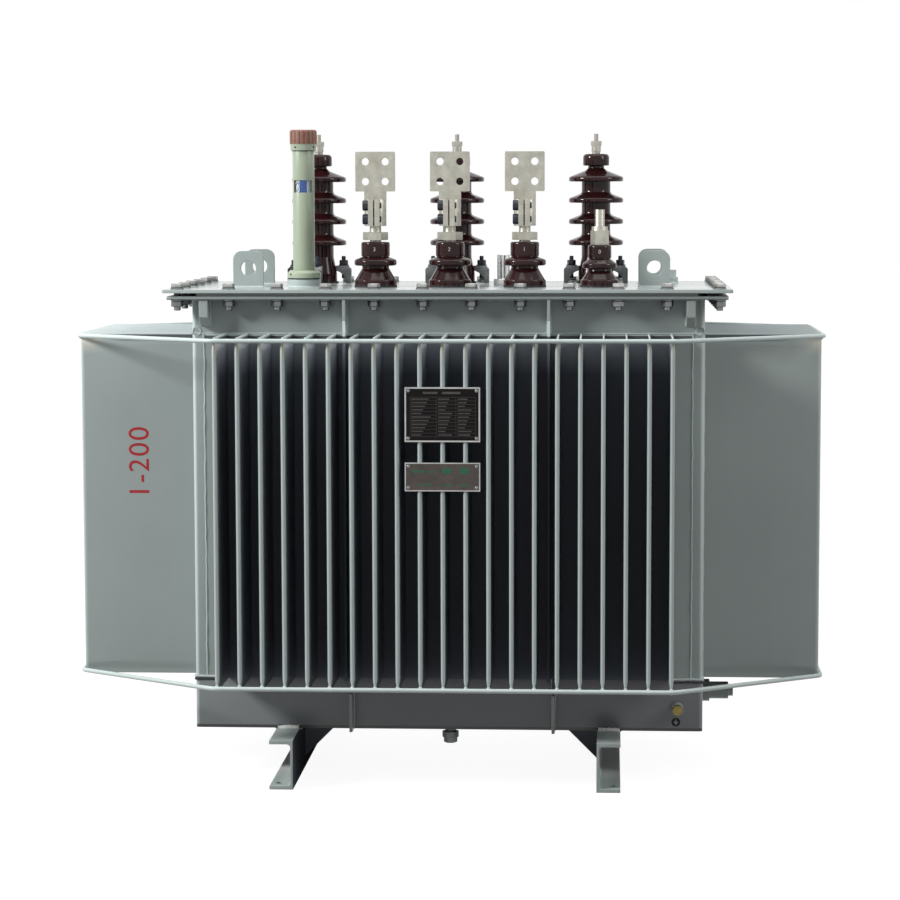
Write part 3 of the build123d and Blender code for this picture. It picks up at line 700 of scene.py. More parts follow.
class TransformerStudio(bpy.types.PropertyGroup):
    lens: bpy.props.FloatProperty(
        name="Lens", description="Focal length on a 36 mm sensor", unit="CAMERA", min=20, default=109.52)
    key: bpy.props.FloatProperty(
        name="Key lamp", description="Power of the large lamp at the left", unit="POWER", min=0, default=205)
    fill: bpy.props.FloatProperty(
        name="Right lamp", description="Power of the large lamp at the right", unit="POWER", min=0, default=55)
    top: bpy.props.FloatProperty(
        name="Top lamp", description="Power of the lamp above", unit="POWER", min=0, default=60)
    sky: bpy.props.FloatProperty(
        name="Room light", description="Strength of the even light of the white room", min=0, default=0.07)


def settings(group):
    return getattr(bpy.context.scene, "transformer_" + group)


EVEN = (1, 1, 1)
MADE = {}


def finish_table():
    """The maker of every finish, with its colour and measures."""
    colors, fins = settings("finishes"), settings("fins")
    enamel, gloss, tin = tuple(colors.enamel), colors.gloss, tuple(colors.tin)
    long_row, end_row = (fins.pitch * (count - 1) / 2 for count in (fins.front_count, fins.end_count))
    wall_low, wall_high = span("front_corrugated_wall")
    tank_low, tank_high = span("lower_band")
    no_rows = (Vector((0.01, 0.01)), 2.0, 0.0)
    return {
        "enamel": (tank_paint, enamel, gloss),
        "long_fin_enamel": (fin_paint, enamel, gloss, "Y", long_row, -wall_low.y, wall_high.z, 0.6),
        # End fins: the enamel made 1.1 times as bright, painted light.
        "end_fin_enamel": (fin_paint, shade(enamel, 1.10), gloss, "X", end_row,
                           -span("left_corrugated_wall")[0].x, wall_high.z, 0.1),
        # Corner posts: the enamel made 1.13 times as bright, painted light.
        "post_enamel": (band_paint, shade(enamel, 1.13), gloss, tank_high, *no_rows),
        # Lower band and tank bottom: the enamel made darker, painted shade.
        "band_enamel": (band_paint, tuple(part * amount for part, amount in zip(enamel, (0.86, 0.82, 0.86))), gloss,
                        tank_high, Vector((long_row, end_row)), wall_low.z, tank_low.z),
        # Upper band: the enamel made 1.18 times as bright, painted light.
        "upper_band_enamel": (band_paint, shade(enamel, 1.18), gloss, tank_high, *no_rows),
        # Cover: the enamel made 1.55 times as bright, painted light.
        "cover_enamel": (tank_paint, shade(enamel, 1.55), 0.16, 0.3),
        # Flange: a darker copy of the enamel, painted shade.
        "flange_enamel": (joint_paint, shade(enamel, 0.90), gloss,
                          *(end.z for end in span("tank_flange")), 0.8, 0.0, 0.7),
        # Stop bars: a darker copy of the enamel, painted shade in the gap under the cover.
        "stop_bar_enamel": (joint_paint, shade(enamel, 0.85), gloss,
                            *(end.z for end in span("gasket_stop_bars")), 0.9, 0.95, 0.0),
        # Feet: the enamel made 1.4 times as bright, painted light, with more dust.
        "foot_enamel": (tank_paint, shade(enamel, 1.4), 0.6, 1.2, 0.2),
        # Feet's webs facing the tank's middle: near black, painted shade.
        "foot_web_painted_shade": (tank_paint, (0.11, 0.12, 0.14), 0.7, 0.3, 0.0),
        # Gussets: a bluish matt grey tuned to their look in shade, painted shade.
        "gusset_shade_tone": (tank_paint, (0.32, 0.345, 0.39), 0.7, 0.3, 0.0),
        # Top of the feet's lower flanges: painted light, paler deeper below the tank.
        "foot_ledge_painted_light": (lit_ledge_paint, shade(enamel, 1.4), tank_low.y),
        # Rods: the enamel made 2.1 times as bright, painted light.
        "rod_enamel": (tank_paint, shade(enamel, 2.1), 0.34, 0.2),
        # Enamel made 1.45 times as bright for the gauge socket, filler plug and drain valve; painted light on the
        # valve.
        "pale_enamel": (tank_paint, shade(enamel, 1.45), 0.30, 0.3),
        # Heavy beads on the feet: near white, painted light where they lie in shade.
        "bead_enamel": (tank_paint, (0.95, 0.96, 0.94), 0.34, 0.2),
        # Welds and tacks: the enamel made 1.75 times as bright, painted light.
        "weld_enamel": (tank_paint, shade(enamel, 1.75), 0.34, 0.4),
        # A near-black strip below the posts' joint: painted shade.
        "crevice_painted_shade": (gasket_rubber, (0.012, 0.012, 0.012)),
        # Ribs and lugs: the enamel made 1.2 times as bright, painted light.
        "lug_enamel": (tank_paint, shade(enamel, 1.2), gloss, 0.5),
        "gauge_enamel": (tank_paint, tuple(colors.gauge_enamel), 0.33, 0.25),
        "glaze": (glaze, tuple(colors.glaze)),
        "tin": (bare_metal, tin, 0.40, (0.30, 0.27, 0.20), 0.45, (1, 1, 0.15), 0.75),
        "tin_thread": (threaded_metal, tin, 0.34, 0.0015),
        # Zinc, with painted light on the bolt heads above the cover.
        "zinc": (bare_metal, tuple(colors.zinc), 0.36, (0.18, 0.19, 0.20), 0.6, EVEN, 0.9,
                 span("cover_plate")[1].z + 0.004),
        "brass": (bare_metal, (0.15, 0.118, 0.040), 0.30, (0.05, 0.035, 0.02), 0.8),
        "terminal_metal": (bare_metal, (0.44, 0.43, 0.38), 0.46, (0.22, 0.20, 0.15), 0.4, EVEN, 0.8),
        "terminal_thread": (threaded_metal, (0.33, 0.32, 0.28), 0.50, 0.0009),
        "chrome": (bare_metal, (0.68, 0.68, 0.69), 0.24, (0.46, 0.44, 0.42), 0.2, (0.2, 0.2, 0.03), 1.0, None, 0.02),
        "black_steel": (bare_metal, (0.028, 0.032, 0.042), 0.34, (0.09, 0.07, 0.06), 0.3, EVEN, 0.5),
        "cast_iron": (cast_iron, (0.145, 0.152, 0.155)),
        "rubber": (gasket_rubber, (0.010, 0.010, 0.011)),
        "cap": (moulded_plastic, tuple(colors.cap)),
        "plate_metal": (bare_metal, (0.42, 0.42, 0.41), 0.30, (0.30, 0.29, 0.27), 0.3, (0.1, 1, 1)),
        "plate_face": (moulded_plastic, (0.007, 0.006, 0.006), 0.1),
        "plate_print": (bare_metal, (0.056, 0.047, 0.045), 0.38, (0.11, 0.09, 0.08), 0.6, EVEN, 0.3),
        "info_face": (bare_metal, (0.072, 0.060, 0.054), 0.34, (0.13, 0.10, 0.09), 0.5, (0.1, 1, 1), 0.6),
        "info_print": (moulded_plastic, (0.012, 0.10, 0.045)),
        "mark": (moulded_plastic, tuple(colors.mark)),
        "white_print": (moulded_plastic, (0.62, 0.60, 0.60)),
        "black_print": (moulded_plastic, (0.006, 0.006, 0.006), 0.1),
        "blue_float": (moulded_plastic, (0.001, 0.090, 0.40), 0.2),
        "sight_glass": (sight_glass,),
    }


def finish_named(name):
    """The finishes are made once and shared by all pieces."""
    if name not in MADE:
        maker, *measures = finish_table()[name]
        MADE[name] = maker(*measures).material
        MADE[name].name = name
    return MADE[name]


# Pieces

class TRANSFORMER_OT_tank(bpy.types.Operator):
    """Feet, bands, corner posts, ribs, lugs, flange and cover, with their edges just broken"""
    bl_idname = "transformer.tank"
    bl_label = "Tank steel"

    def execute(self, context):
        # These finishes are lighter or darker copies of the tank enamel: painted light and shade.
        for node, finish in (("stiffening_ribs", "lug_enamel"), ("tank_flange", "flange_enamel"),
                             ("gasket_stop_bars", "stop_bar_enamel"), ("corner_posts", "post_enamel"),
                             ("lower_band", "band_enamel"), ("tank_bottom", "band_enamel"),
                             ("foot_gussets", "gusset_shade_tone")):
            softened(node, finish)
        slack, web, sole, lit_ledge_top = 0.0005, 0.008, 0.004, 0.014
        for node in ("foot_left", "foot_right"):
            inner = min(abs(corner.x) for corner in span(node))
            # The web's face towards the tank's middle takes painted shade; the lower flange's top takes painted light.
            softened(node, "foot_enamel", zones=(
                (lambda point: abs(point.x) < inner + slack, "foot_web_painted_shade"),
                (lambda point: abs(point.x) > inner + web and sole < point.z < lit_ledge_top, "foot_ledge_painted_light")))
        softened("upper_band", "upper_band_enamel")
        softened("cover_plate", "cover_enamel")
        for node in ("tank_lifting_lugs", "cover_lifting_lugs"):
            softened(node, "lug_enamel", 0.0016, 3)
        softened("cover_gasket", "rubber", 0.0008)
        self.rib_runs()
        return {"FINISHED"}

    def rib_runs(self):
        """The upper ribs go on down in the valleys between the fins, to the lower band."""
        low, high = span("stiffening_ribs")
        tank_low, tank_high = span("upper_band")
        thick, inset, lap = 0.0062, 0.0004, 0.030
        shape = Shape()
        for x in (low.x + inset, -low.x - thick - inset):
            for side in (-1, 1):
                shape.prism(corners(x, side * tank_high.y, x + thick, side * high.y),
                            span("lower_band")[1].z, tank_low.z + lap)
        put("rib_runs", shape, "long_fin_enamel", bevel=0.0008)


class TRANSFORMER_OT_fins(bpy.types.Operator):
    """Corrugated walls: folded fins with round tips, pinched and welded shut at both ends"""
    bl_idname = "transformer.fins"
    bl_label = "Corrugated walls"

    def execute(self, context):
        fins = settings("fins")
        tree = fin_row()
        low, high = span("lower_band")
        wall_low, wall_high = span("front_corrugated_wall")
        end_low, end_high = span("left_corrugated_wall")
        bottom, height = wall_low.z, wall_high.z - wall_low.z
        long_wall = (fins.front_count, low.y - wall_low.y, wall_high.x * 2, "long_fin_enamel")
        end_wall = (fins.end_count, low.x - end_low.x, end_high.y * 2, "end_fin_enamel")
        for side, (count, depth, length, finish), x, y, turn in (
                ("front", long_wall, 0, low.y, 0.0), ("rear", long_wall, 0, high.y, math.pi),
                ("left", end_wall, low.x, 0, -QUARTER), ("right", end_wall, high.x, 0, QUARTER)):
            grown(side + "_fins", self.fin(fins, depth, height), tree, {
                "Count": count, "Pitch": fins.pitch, "Sheet length": length, "Sheet thickness": SHEET,
                "Sheet height": height, "Centre": (x, y, bottom), "Facing": (0, 0, turn),
                "Material": finish_named(finish)}, 40, (side + "_corrugated_wall",))
        return {"FINISHED"}

    def fin(self, fins, depth, height):
        """One fin standing out along -Y from Y = 0."""
        full, thin, seam = fins.thickness / 2, fins.seam / 2, 0.006
        levels = [(0, thin), (seam, thin)]
        for share in (step / 8 for step in range(1, 9)):
            levels.append((seam + fins.pinch * share, thin + (full - thin) * share * share * (3 - 2 * share)))
        levels += [(height * share, full) for share in (0.2, 0.35, 0.5, 0.65, 0.8)] + [
            (height - z, half) for z, half in reversed(levels)]
        rings = []
        for z, half in levels:
            side = [(half, 0.0, z), (half, -depth * 0.5, z)]
            tip = [(-half * math.cos(turn), -(depth - half) - half * math.sin(turn), z)
                   for turn in (math.pi * step / 10 for step in range(11))]
            rings.append([(-x, y, z) for x, y, z in side] + tip + side[::-1])
        return Shape().skin(rings).mesh("fin", 40)


class TRANSFORMER_OT_rods(bpy.types.Operator):
    """Round rods that tie the fin tips together, bent round the tank at two heights"""
    bl_idname = "transformer.rods"
    bl_label = "Fin rods"

    def execute(self, context):
        low, high = span("front_fin_rods")
        radius, front, along = (high.y - low.y) / 2, (low.y + high.y) / 2, high.x
        side_low, side_high = span("right_fin_rods")
        end, across = (side_low.x + side_high.x) / 2, side_high.y
        quarter = [(end, across), (along, -front)]
        half = quarter + [(-x, y) for x, y in reversed(quarter)]
        shape = Shape()
        for height in (low.z + radius, high.z - radius):
            self.bar(shape, half + [(-x, -y) for x, y in half], height, radius)
        put("fin_tie_rods", shape, "rod_enamel",
            [side + "_fin_rods" for side in ("front", "rear", "left", "right", "corner")], 50)
        return {"FINISHED"}

    def bar(self, shape, outline, height, radius, bend=0.012):
        """A closed round bar through the corners of an outline, each bent over a few short steps."""
        path = []
        for index, corner in enumerate(outline):
            here = Vector(corner)
            back, on = (here + (Vector(other) - here).normalized() * bend
                        for other in (outline[index - 1], outline[(index + 1) % len(outline)]))
            path += bent(back, here, on, 4)
        rings = []
        for index, point in enumerate(path):
            ahead = (path[(index + 1) % len(path)] - path[index - 1]).normalized()
            rings.append([(point.x + ahead.y * out, point.y - ahead.x * out, height + up)
                          for out, up in circle(radius, 14)])
        shape.skin(rings, looped=True)


def bushing(node, outline, segments, seal, width, height):
    """Glazed porcelain in the place of a frame node, on a rubber ring."""
    at = standing(node)
    put(node + "_porcelain", Shape().turned(outline, at, segments), "glaze", (node,), 38)
    put(node + "_seal", Shape().turned(collar(seal, width, 0, height), at, 48), "rubber")


class TRANSFORMER_OT_high_voltage(bpy.types.Operator):
    """High-voltage porcelain with its sheds, the cast clamps and the terminals"""
    bl_idname = "transformer.high_voltage"
    bl_label = "High-voltage bushings"

    def execute(self, context):
        outline = self.outline()
        for number in (1, 2, 3):
            bushing(f"hv_bushing_{number}", outline, 72, 0.0455, 0.0095, 0.0035)
            terminal = f"hv_terminal_{number}"
            centre, thread_low, thread_radius = middle(terminal), span(terminal)[0].z + 0.03, 0.0052

            def on_stud(point):
                off = math.hypot(point.x - centre.x, point.y - centre.y)
                return off < thread_radius and point.z > thread_low
            softened(terminal, "terminal_metal", 0.0006, zones=((on_stud, "terminal_thread"),))
        softened("hv_bushing_clamps", "cast_iron", 0.0022, 3, 28)
        return {"FINISHED"}

    def outline(self):
        """Radius and height of the porcelain from its base to its head, with every edge rounded."""
        core, shed, pitch = 0.034, 0.0645, 0.050
        points = [(0.0, 0.0, 0.0), (0.042, 0.0, 0.001), (0.042, 0.022, 0.002), (core, 0.061, 0.010)]
        for low in (0.089 + pitch * step for step in range(4)):
            points += [(core, low + 0.003, 0.004), (shed, low, 0.0045), (shed, low + 0.0115, 0.0065),
                       (core, low + 0.023, 0.010)]
        return rounded(points[:-1] + [
            (0.027, 0.265, 0.006), (0.019, 0.271, 0.003), (0.019, 0.277, 0.0015), (0.031, 0.277, 0.003),
            (0.031, 0.305, 0.010), (0.0, 0.305, 0.0)])


class TRANSFORMER_OT_low_voltage(bpy.types.Operator):
    """Low-voltage and neutral porcelain with their flags, clamps, nuts and studs"""
    bl_idname = "transformer.low_voltage"
    bl_label = "Low-voltage bushings"

    def execute(self, context):
        outline = rounded([
            (0.0, 0.0, 0.0), (LV_FOOT_RADIUS, 0.0, 0.001), (LV_FOOT_RADIUS, 0.016, 0.003), (0.0455, 0.018, 0.002),
            (0.0305, 0.043, 0.008),
            (0.0305, 0.049, 0.003), (0.048, 0.049, 0.0055), (0.048, 0.062, 0.0065), (0.0305, 0.069, 0.003),
            (0.0305, 0.071, 0.0006), (LV_RADIUS, 0.071, 0.001), (LV_RADIUS, 0.103, 0.005), (0.0, 0.103, 0.0)])
        neutral_outline = rounded([
            (0.0, 0.0, 0.0), (NEUTRAL_FOOT_RADIUS, 0.0, 0.001), (NEUTRAL_FOOT_RADIUS, 0.016, 0.003),
            (0.040, 0.018, 0.002), (0.027, 0.037, 0.008),
            (0.027, 0.043, 0.003), (0.039, 0.043, 0.003), (0.039, 0.053, 0.0055), (0.0245, 0.064, 0.004),
            (0.0245, 0.066, 0.0006), (NEUTRAL_RADIUS, 0.066, 0.001), (NEUTRAL_RADIUS, 0.096, 0.006),
            (0.0, 0.096, 0.0)])
        for number in (1, 2, 3):
            bushing(f"lv_bushing_{number}", outline, 64, LV_FOOT_RADIUS + 0.0006, 0.006, 0.0045)
        bushing("neutral_bushing", neutral_outline, 64, NEUTRAL_FOOT_RADIUS + 0.0006, 0.006, 0.0045)
        stand = span("lv_bushing_1")[0].y + LV_FOOT_RADIUS
        for number in (1, 2, 3):
            self.terminal(f"lv_terminal_{number}", stand, 0.0131, 0.022, 0.036)
        self.terminal("neutral_terminal", middle("neutral_terminal").y, 0.0111, 0.041, 1.0)
        return {"FINISHED"}

    def terminal(self, terminal, y, radius, low, high):
        """A terminal whose stud shows its thread between two heights over the terminal's foot."""
        x, foot = middle(terminal).x, span(terminal)[0].z

        def on_stud(point):
            return math.hypot(point.x - x, point.y - y) < radius and foot + low < point.z < foot + high
        softened(terminal, "tin", 0.0008, zones=((on_stud, "tin_thread"),))


class TRANSFORMER_OT_oil_gauge(bpy.types.Operator):
    """Oil gauge: socket, tube with its window, sight glass with a float inside, and grooved cap"""
    bl_idname = "transformer.oil_gauge"
    bl_label = "Oil gauge"

    def execute(self, context):
        socket, cap = span("oil_gauge_base")[0].z, span("oil_gauge_cap")[0].z
        collar_height, nut_height = 0.017, 0.0151
        softened("oil_gauge_base", "gauge_enamel",
                 zones=((lambda point: point.z < socket + collar_height, "pale_enamel"),))
        softened("oil_gauge_tube", "gauge_enamel", 0.0008, 2, 40)
        softened("oil_gauge_cap", "cap", 0.0006, 2, 40,
                 zones=((lambda point: point.z < cap + nut_height, "gauge_enamel"),))
        glass = NODES["oil_gauge_glass"].data
        glass.materials.clear()
        glass.materials.append(finish_named("sight_glass"))
        self.inside()
        self.joints(socket, cap)
        return {"FINISHED"}

    def inside(self):
        """The pale scale behind the glass, and the float as a blue strip on its front."""
        low, high = span("oil_gauge_glass")
        at, height = standing("oil_gauge_glass"), high.z - low.z
        tube = [(0.017, 0.0), (0.0196, 0.0005), (0.0196, height - 0.0005), (0.017, height)]
        put("oil_gauge_scale", Shape().turned(tube, at), "white_print")
        turns = [math.radians(-20 + 6 * step) for step in range(9)]
        strip = [(reach * math.sin(turn), -reach * math.cos(turn))
                 for reach, row in ((0.0199, turns), (0.0192, turns[::-1])) for turn in row]
        put("oil_gauge_float", Shape().prism(strip, 0.001, height - 0.001, at), "blue_float")

    def joints(self, socket, cap):
        """Dark joint lines of the socket and the collar, and the grub screws that hold them."""
        lines = Shape()
        low, high = span("oil_gauge_base")
        axis = standing("oil_gauge_glass", -span("oil_gauge_glass")[0].z)
        for radius, bottom, top in (((high.x - low.x) / 2 + 0.0006, socket + 0.0165, socket + 0.0195),
                                    (0.0260, cap - 0.0018, cap + 0.0002)):
            lines.turned(collar(radius, 0.002, bottom, top), axis, 56)
        for radius, height, angles in ((0.0380, socket + 0.028, (-47, 73, 193)),
                                       (0.0295, cap + 0.0075, (-32, 58, 148, 238))):
            for angle in angles:
                at = (axis @ Matrix.Translation((0, 0, height)) @ Matrix.Rotation(math.radians(angle), 4, "Z")
                      @ Matrix.Translation((0, -radius, 0)) @ TO_FRONT)
                lines.turned([(0.0026, -0.002), (0.0026, 0.0003), (0.0020, 0.0004)], at, 18)
        put("oil_gauge_joints", lines, "black_steel")


class TRANSFORMER_OT_fittings(bpy.types.Operator):
    """Thermometer pocket, filler plug, drain valve, sump plug and earthing bolt"""
    bl_idname = "transformer.fittings"
    bl_label = "Small fittings"

    def execute(self, context):
        for node, finish, slot, bevel, segments in (
                ("thermometer_pocket", "chrome", "plated_steel", 0.0012, 3),
                ("filler_plug", "pale_enamel", "gauge_paint", 0.0010, 2),
                ("drain_valve", "pale_enamel", "paint", 0.0014, 3), ("sump_plug", "cast_iron", "paint", 0.0014, 2)):
            softened(node, finish, bevel, segments)
        self.plug_head()
        boss_depth = 0.0241
        face = span("lower_band")[0].y - boss_depth
        softened("earthing_stud", "brass", 0.0008, zones=((lambda point: point.y > face, "enamel"),))
        return {"FINISHED"}

    def plug_head(self):
        """The collar and the hexagon head of the drain screw under the tank."""
        at = standing("sump_plug")
        head = Shape().turned([(0.010, -0.0095), (0.0185, -0.0095), (0.0190, -0.0088), (0.0190, 0.0035),
                               (0.010, 0.0035)], at, 32)
        put("sump_plug_head", head.hexagon(0.027, -0.0225, -0.0090, at), "cast_iron", angle=30)


class TRANSFORMER_OT_fasteners(bpy.types.Operator):
    """Cover bolts, bushing clamp studs, flag clamp screws and plate screws, on even grids"""
    bl_idname = "transformer.fasteners"
    bl_label = "Bolts, nuts and screws"

    def execute(self, context):
        tree, sizes = repeated_grid(), settings("fasteners")
        top = span("cover_plate")[1].z
        under = top - span("tank_flange")[0].z
        aside, clamp_pitch, screw_pitch, margin = 0.0012, 0.082, 0.031, 0.016
        screw_place = Vector((-0.013, -0.0345, 0.067))
        bolt = self.cover_bolt(sizes, under)
        # The shanks show only in the gap between cover and flange; black steel on them is painted shade in that gap.
        shank = Shape().turned([(BOLT_RADIUS, -under - 0.001), (BOLT_RADIUS, 0.001)], segments=14).mesh("shank", 30)
        for side, columns, rows, across, along in (("side", 10, 2, sizes.side_spacing, 5 * sizes.spacing),
                                                   ("end", 2, 6, 11 * sizes.spacing, sizes.spacing)):
            for form, name, finish in ((bolt, "cover_bolts", "zinc"), (shank, "cover_bolt_shanks", "black_steel")):
                gridded(f"{name}_{side}", form, tree, columns, rows, across, along, (aside, 0, top), finish,
                        7)
        stud, screw, head = self.clamp_stud(), self.socket_screw(), self.plate_screw()
        clamp_top = span("hv_bushing_clamps")[1].z
        for number in (1, 2, 3):
            stand = middle(f"hv_bushing_{number}")
            gridded(f"hv_clamp_studs_{number}", stud, tree, 2, 2, clamp_pitch, clamp_pitch,
                    (stand.x, stand.y, clamp_top), "black_steel", number, (0, 0, math.pi / 4))
        for number in (1, 2, 3):
            stand = middle(f"lv_bushing_{number}")
            stand.z = span(f"lv_terminal_{number}")[0].z
            gridded(f"flag_clamp_screws_{number}", screw, tree, 2, 1, screw_pitch, 0.0, stand + screw_place,
                    "black_steel", number, (0, -QUARTER, 0))
        for node in ("rating_plate", "info_plate"):
            size, centre = span(node)[1] - span(node)[0], middle(node)
            gridded(node + "_screws", head, tree, 2, 2, size.x - margin, size.z - margin,
                    (centre.x, span(node)[0].y, centre.z), "zinc", 3, (QUARTER, 0, 0))
        return {"FINISHED"}

    def cover_bolt(self, sizes, under):
        """A bolt through cover and flange, its head above Z = 0 and its nut below the flange."""
        washer, across, inner, thick, edge = sizes.washer, sizes.across, 0.006, 0.0027, 0.0006
        shape = Shape()
        shape.turned([(inner, 0.0), (washer, 0.0), (washer, 0.0020), (washer - edge, thick), (inner, thick)],
                     segments=28)
        shape.hexagon(across, thick, 0.0130)
        shape.turned([(inner, -under - thick), (washer - edge, -under - thick), (washer, -under - 0.0020),
                      (washer, -under), (inner, -under)], segments=28)
        shape.hexagon(across, -under - 0.0160, -under - thick)
        shape.turned([(0.0062, -under - 0.0245), (BOLT_RADIUS, -under - 0.0230), (BOLT_RADIUS, -under - 0.0150)],
                     segments=16)
        return shape.mesh("cover_bolt", 30)

    def clamp_stud(self):
        shape = Shape().turned([(0.004, -0.002), (0.0125, -0.002), (0.0125, 0.0022), (0.004, 0.0022)], segments=24)
        shape.hexagon(0.018, 0.002, 0.0135)
        shape.turned([(0.0050, -0.03), (0.0050, 0.0215), (0.0040, 0.0230)], segments=18)
        return shape.mesh("clamp_stud", 30)

    def socket_screw(self):
        """A cap screw with a round socket, its head above Z = 0 and its end below."""
        shape = Shape().turned([(0.007, 0.0), (0.0118, 0.0003), (0.0118, 0.0115), (0.0106, 0.0130), (0.0062, 0.0130),
                                (0.0058, 0.0070)], segments=30)
        shape.turned([(0.0062, -0.0295), (0.0070, -0.0285), (0.0070, 0.0)], segments=20)
        return shape.mesh("socket_screw", 30)

    def plate_screw(self):
        return Shape().turned([(0.0036, -0.0002), (0.0036, 0.0006), (0.0030, 0.0013), (0.0016, 0.0018)],
                              segments=20).mesh("plate_screw", 30)


def upright(x, y, low, high):
    return [(x, y, low), (x, y, high)]


class TRANSFORMER_OT_welds(bpy.types.Operator):
    """Seam welds of the tank, lugs, ribs, feet and fittings, and a dark strip of painted shade at the posts' joint"""
    bl_idname = "transformer.welds"
    bl_label = "Welds"

    def execute(self, context):
        tree, radius = weld_run(), settings("fasteners").bead
        for name, runs, size, wander, seed, finish in (
                ("corner_seams", self.corner_seams(), 0.75, 0.0030, 2, "weld_enamel"),
                ("band_seams", self.band_seams(), 0.8, 0.0005, 5, "weld_enamel"),
                ("joint_seams", self.joint_seams(0.002), 1.2, 0.0024, 17, "weld_enamel"),
                ("lug_seams", self.lug_seams(), 0.9, 0.0006, 8, "weld_enamel"),
                ("foot_seams", self.foot_seams(), 1.4, 0.0016, 11, "weld_enamel"),
                ("foot_end_seams", self.foot_end_seams(), 2.3, 0.0045, 21, "bead_enamel"),
                ("fitting_seams", self.fitting_seams(), 0.8, 0.0004, 14, "weld_enamel"),
                # A near-black strip below the posts' joint: painted shade.
                ("joint_shade_strip", self.joint_seams(-0.0045), 0.9, 0.0024, 17, "crevice_painted_shade")):
            grown(name, self.edges(name, runs), tree, {
                "Bead radius": radius * size, "Ripple length": 0.0055, "Unevenness": 0.45, "Wander": wander,
                "Seed": seed, "Material": finish_named(finish)}, 60)
        return {"FINISHED"}

    def edges(self, name, runs):
        """Polylines as one mesh of loose edges."""
        points, links = [], []
        for run in runs:
            links += [(len(points) + index, len(points) + index + 1) for index in range(len(run) - 1)]
            points += run
        mesh = bpy.data.meshes.new(name + "_runs")
        mesh.from_pydata(points, links, [])
        return mesh

    def box_run(self, left, near, right, far, height):
        outline = corners(left, near, right, far)
        return [(x, y, height) for x, y in outline + outline[:1]]

    def corner_seams(self):
        """The upright seams between the corner posts and the corrugated walls."""
        low, high = span("front_corrugated_wall")
        tank_low, tank_high = span("lower_band")
        end_low, end_high = span("left_corrugated_wall")
        runs = []
        for x in (low.x, high.x):
            for y in (tank_low.y, tank_high.y):
                runs.append([(x, y, low.z), (x, y, (low.z + high.z) / 2), (x, y, high.z)])
                centre = math.copysign(tank_high.x - 0.011, x)
                runs.append([(centre + 0.009 * math.sin(turn), y, high.z + 0.006 + 0.010 * math.cos(turn))
                             for turn in (math.tau * step / 16 for step in range(15))])
        return runs + [upright(x, y, low.z, high.z)
                       for x in (tank_low.x, tank_high.x) for y in (end_low.y, end_high.y)]

    def joint_seams(self, lift):
        """Where the corner posts stand on the lower band: one run round each corner."""
        corner, fins = span("lower_band")[1], settings("fins")
        reach_x, reach_y = (fins.pitch * (count - 1) / 2 + 0.007 for count in (fins.front_count, fins.end_count))
        return [[(x * along, y * across, corner.z + lift) for along, across in (
            (reach_x, corner.y), (corner.x, corner.y), (corner.x, reach_y))] for x in (-1, 1) for y in (-1, 1)]

    def band_seams(self):
        low, high = span("lower_band")
        inset = 0.0005
        return [self.box_run(low.x + inset, low.y + inset, high.x - inset, high.y - inset, height)
                for height in (span("upper_band")[0].z, span("tank_flange")[0].z - 0.001)]

    def lug_seams(self):
        """Round the cover's lugs, and up both sides of the tank's lugs and of the ribs on each band."""
        low, high = span("cover_lifting_lugs")
        half, thick, rib = 0.035, 0.006, 0.007
        runs = [self.box_run(x - half, y - thick, x + half, y + thick, span("cover_plate")[1].z)
                for x in (low.x + half, high.x - half) for y in (low.y + thick, high.y - thick)]
        low, high = span("tank_lifting_lugs")
        faces = [corner.y for corner in span("upper_band")]
        runs += [upright(x, y, low.z, high.z) for x in (low.x, low.x + 0.020, high.x - 0.020, high.x) for y in faces]
        low, high = span("stiffening_ribs")
        for band, offset in (("upper_band", 0), ("lower_band", high.x + low.x)):
            runs += [upright(x + offset, y, *(end.z for end in span(band)))
                     for x in (low.x, low.x + rib, -low.x - rib, -low.x) for y in faces]
        return runs

    def foot_seams(self):
        tank_low, tank_high = span("lower_band")
        return [[(corner.x, y, tank_low.z) for y in (tank_low.y + 0.004, tank_high.y - 0.004)]
                for node in ("foot_left", "foot_right") for corner in span(node)]

    def foot_end_seams(self):
        """Heavy beads on the feet's upper flange, along the front and rear edge of the tank."""
        under, reach = span("lower_band")[0].z + 0.0015, span("lower_band")[1].y + 0.0065
        return [[(low.x + 0.003, y, under), (high.x - 0.001, y, under)]
                for low, high in (span("foot_left"), span("foot_right")) for y in (-reach, reach)]

    def fitting_seams(self):
        """Round the gauge's socket and the filler plug; the last point of a ring lies on its first."""
        runs = []
        for node in ("oil_gauge_base", "filler_plug"):
            centre, (low, high) = middle(node), span(node)
            around = circle((high.x - low.x) / 2, 28)
            runs.append([(centre.x + x, centre.y + y, span("cover_plate")[1].z) for x, y in around + around[:1]])
        return runs


class TRANSFORMER_OT_rod_tacks(bpy.types.Operator):
    """Small tack welds where each fin tip meets the rods"""
    bl_idname = "transformer.rod_tacks"
    bl_label = "Rod tacks"

    def execute(self, context):
        fins, tree = settings("fins"), repeated_grid()
        blob = Shape().turned([(0.0016, -0.0030), (0.0040, -0.0018), (0.0048, 0.0), (0.0040, 0.0018),
                               (0.0016, 0.0030)], segments=10).mesh("tack", 60)
        low, high = span("front_fin_rods")
        reach_y, reach_x = (0.0008 - tip for tip in (
            span("front_corrugated_wall")[0].y, span("left_corrugated_wall")[0].x))
        spread = high.z - low.z - 0.017
        for side, count, x, y, turn in (
                ("front", fins.front_count, 0, -reach_y, 0.0), ("rear", fins.front_count, 0, reach_y, math.pi),
                ("left", fins.end_count, -reach_x, 0, -QUARTER), ("right", fins.end_count, reach_x, 0, QUARTER)):
            gridded(side + "_rod_tacks", blob, tree, count, 2, fins.pitch, spread, (x, y, (low.z + high.z) / 2),
                    "weld_enamel", 5, (QUARTER, 0, turn), 60)
        return {"FINISHED"}


